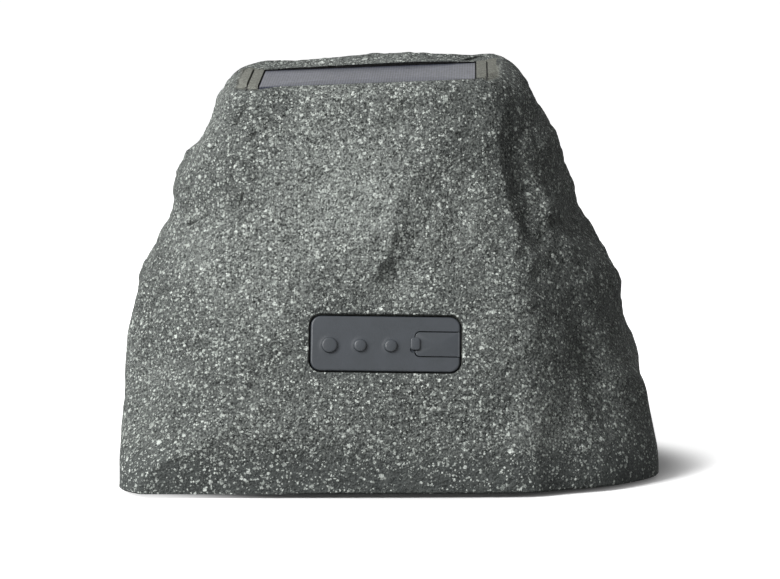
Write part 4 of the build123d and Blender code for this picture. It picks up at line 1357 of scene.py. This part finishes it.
def woven(name, dark, light, pitch, tooth):
    """A plain weave: two sets of sine threads in turn, their height in the bump and their dips dark."""
    material, nodes, shader, place = new_material(name, Sheen_Weight=0.3)
    axes = nodes.add("ShaderNodeSeparateXYZ", {0: place}).outputs
    turns = 2.0 * math.pi / pitch
    warp = nodes.math("SINE", nodes.times(axes["X"], turns))
    weft = nodes.math("SINE", nodes.times(nodes.math("ADD", axes["Z"], axes["Y"]), turns))
    height = nodes.times(warp, weft)
    tone = nodes.ramp(height, -1.0, 1.0)
    nodes.feed(shader["Base Color"], nodes.mix(tone, srgb(*dark), srgb(*light)))
    nodes.feed(shader["Roughness"], nodes.ramp(height, -1.0, 1.0, 0.95, 0.8))
    nodes.feed(shader["Normal"], bump(nodes, tone, tooth))
    return material


# Finishes: two tones, roughness, size of the grain and height of its tooth in metres.
rubber = ((48, 52, 56), (54, 58, 63), 0.42, 0.0006, 0.00006)
coats = {
    "circuit_board": ((18, 74, 44), (30, 96, 58), 0.42, 0.0009, 0.0001),
    "foam": ((34, 34, 34), (48, 48, 48), 0.92, 0.0007, 0.0004),
    "dark_plastic": ((44, 45, 46), (54, 55, 56), 0.6, 0.0006, 0.00012),
    "grille_metal": ((38, 38, 38), (50, 50, 50), 0.55, 0.0005, 0.0001),
    "basket_steel": ((46, 46, 46), (58, 58, 58), 0.5, 0.0008, 0.00008),
    "ferrite": ((58, 58, 60), (74, 74, 76), 0.7, 0.0007, 0.0002),
    "black_rubber": ((34, 34, 34), (44, 44, 44), 0.66, 0.0006, 0.0001),
    "cone_paper": ((46, 46, 48), (64, 64, 66), 0.85, 0.0012, 0.0003),
    "cell_wrap": ((40, 96, 140), (54, 112, 158), 0.3, 0.0009, 0.00004),
}
bare_metals = {
    "screw_steel": ((150, 150, 152), (176, 176, 178), 0.34, 0.0005, 0.00005),
    "plated_steel": ((168, 168, 162), (190, 190, 184), 0.36, 0.0006, 0.00005),
    "copper": ((184, 104, 60), (214, 136, 86), 0.35, 0.0004, 0.00008),
}

# Weaves: two tones, pitch of the threads and their height in metres.
weaves = {
    "cloth": ((16, 16, 16), (40, 40, 40), 0.0006, 0.0002),
    "spider_cloth": ((140, 100, 50), (206, 164, 104), 0.0007, 0.0002),
}
finishes = {"rock": speckled_stone(), "solar_cell": solar_cell(), "clear_resin": clear_resin()}
finishes["pad_rubber"] = moulded("pad_rubber", *rubber, Specular_IOR_Level=0.4)
finishes |= {name: moulded(name, *values) for name, values in coats.items()}
finishes |= {name: moulded(name, *values, Metallic=1.0) for name, values in bare_metals.items()}
finishes |= {name: woven(name, *values) for name, values in weaves.items()}


def dress(piece, material):
    """One material over a whole piece."""
    piece.data.materials.clear()
    piece.data.materials.append(material)


for subpart in frame["record"]["subparts"]:
    dress(frame["nodes"][subpart["node"]], finishes[subpart["material_slot"]])


def settle(piece, body, node, slot):
    """A finished piece in place of its CAD node, riding on that node's body."""
    dress(piece, finishes[slot])
    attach(piece, body)
    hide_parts(node)


skin = rock_skin()
mark_rock(skin)
settle(skin, "housing", "rock_shell", "rock")
settle(pad_skin(), "housing", "control_pad", "pad_rubber")
settle(solar_face(), "housing", "solar_cover", "solar_cell")
for button in buttons:
    settle(button_skin(button), button, button, "pad_rubber")
settle(flap_skin(), "port_flap", "port_flap", "pad_rubber")


# Floor, light and camera

floor_columns = 96
floor_radii = (0.2, 0.6, 1.5, 4.0, 9.0)

# The floor's own light sets in round the boulder, counted in its widths and depths, and grows to its most.
glow_start = 0.50
glow_end = 0.66
glow_least = 0.03
glow_most = 0.85

# Lamps, world and camera, in metres and degrees.
lamp_aim = (0.0, 0.0, 0.09)
world_strength = 0.17
camera_spot = (0.0, -1.8815, 0.298)
camera_dip = 6.5
camera_turn = 0.0215
focal_length = 184.6


def seen_directly(nodes):
    """One for what the camera, a reflection or glass sees, nothing for light that bounces."""
    path = nodes.add("ShaderNodeLightPath").outputs
    seen = nodes.math("MAXIMUM", path["Is Camera Ray"], path["Is Glossy Ray"])
    return nodes.math("MAXIMUM", seen, path["Is Transmission Ray"])


def studio_floor():
    """A wide pale disc that shows white to the camera and keeps the object's shadow."""
    angle = np.linspace(0.0, 2.0 * math.pi, floor_columns, endpoint=False)
    radius = np.array(floor_radii)[:, None] / MILLIMETRE
    ring = np.stack([radius * np.cos(angle), radius * np.sin(angle), 0.0 * radius * angle], axis=-1)
    points = np.concatenate([ring.reshape(-1, 3), [[0.0, 0.0, 0.0]]])
    left = np.arange(floor_columns)
    fan = np.stack([left, (left + 1) % floor_columns, np.full(floor_columns, len(points) - 1)], axis=-1)
    faces = grid_faces(len(floor_radii), floor_columns)[:, ::-1].tolist() + fan.tolist()
    floor = make_piece("studio_floor", points, faces)
    material, nodes, shader, place = new_material("floor_paint", Roughness=0.9, Specular_IOR_Level=0.1)
    seen = seen_directly(nodes)
    nodes.feed(shader["Base Color"], nodes.mix(seen, (0.12, 0.12, 0.12, 1.0), (0.86, 0.86, 0.86, 1.0)))
    shader["Emission Color"].default_value = white
    spread = nodes.vector("MULTIPLY", place, (1.0 / body_width, 1.0 / body_depth, 0.0))
    away = nodes.vector("LENGTH", spread)
    glow = nodes.ramp(away, glow_start * MILLIMETRE, glow_end * MILLIMETRE, glow_least, glow_most)
    nodes.feed(shader["Emission Strength"], nodes.times(seen, glow))
    dress(floor, material)


def soft_lamp(name, spot, size, power):
    """A square lamp that looks at the middle of the boulder."""
    lamp = bpy.data.lights.new(name, "AREA")
    lamp.size = size
    lamp.energy = power
    holder = bpy.data.objects.new(name, lamp)
    holder.location = spot
    aim = unit(np.array(lamp_aim) - np.array(spot))
    holder.rotation_euler = (math.acos(-aim[2]), 0.0, math.atan2(aim[1], aim[0]) - math.pi / 2)
    bpy.context.collection.objects.link(holder)


def studio_world():
    """Even soft light, shown as white where the camera, a reflection or glass sees it."""
    world = bpy.data.worlds.new("studio")
    world.use_nodes = True
    bpy.context.scene.world = world
    nodes = Nodes(world.node_tree)
    light = world.node_tree.nodes["Background"]
    light.inputs["Color"].default_value = white
    light.inputs["Strength"].default_value = world_strength
    backdrop = nodes.add("ShaderNodeBackground", {"Color": white, "Strength": 1.0})
    values = {0: seen_directly(nodes), 1: light.outputs[0], 2: backdrop.outputs[0]}
    both = nodes.add("ShaderNodeMixShader", values)
    output = world.node_tree.nodes["World Output"]
    nodes.feed(output.inputs["Surface"], both.outputs[0])


def studio_camera():
    """A long lens a little above the boulder's middle, looking down by some degrees."""
    lens = bpy.data.cameras.new("camera")
    lens.sensor_width = 36.0
    lens.lens = focal_length
    lens.clip_end = 50.0
    camera = bpy.data.objects.new("camera", lens)
    camera.location = camera_spot
    camera.rotation_euler = (math.radians(90.0 - camera_dip), 0.0, math.radians(camera_turn))
    bpy.context.collection.objects.link(camera)
    bpy.context.scene.camera = camera


studio_floor()
studio_world()
soft_lamp("key_lamp", (-1.2, -1.02, 1.22), 0.9, 61.0)
soft_lamp("fill_lamp", (1.6, -1.8, 0.9), 1.6, 4.0)
studio_camera()
bpy.context.scene.view_settings.view_transform = "Standard"
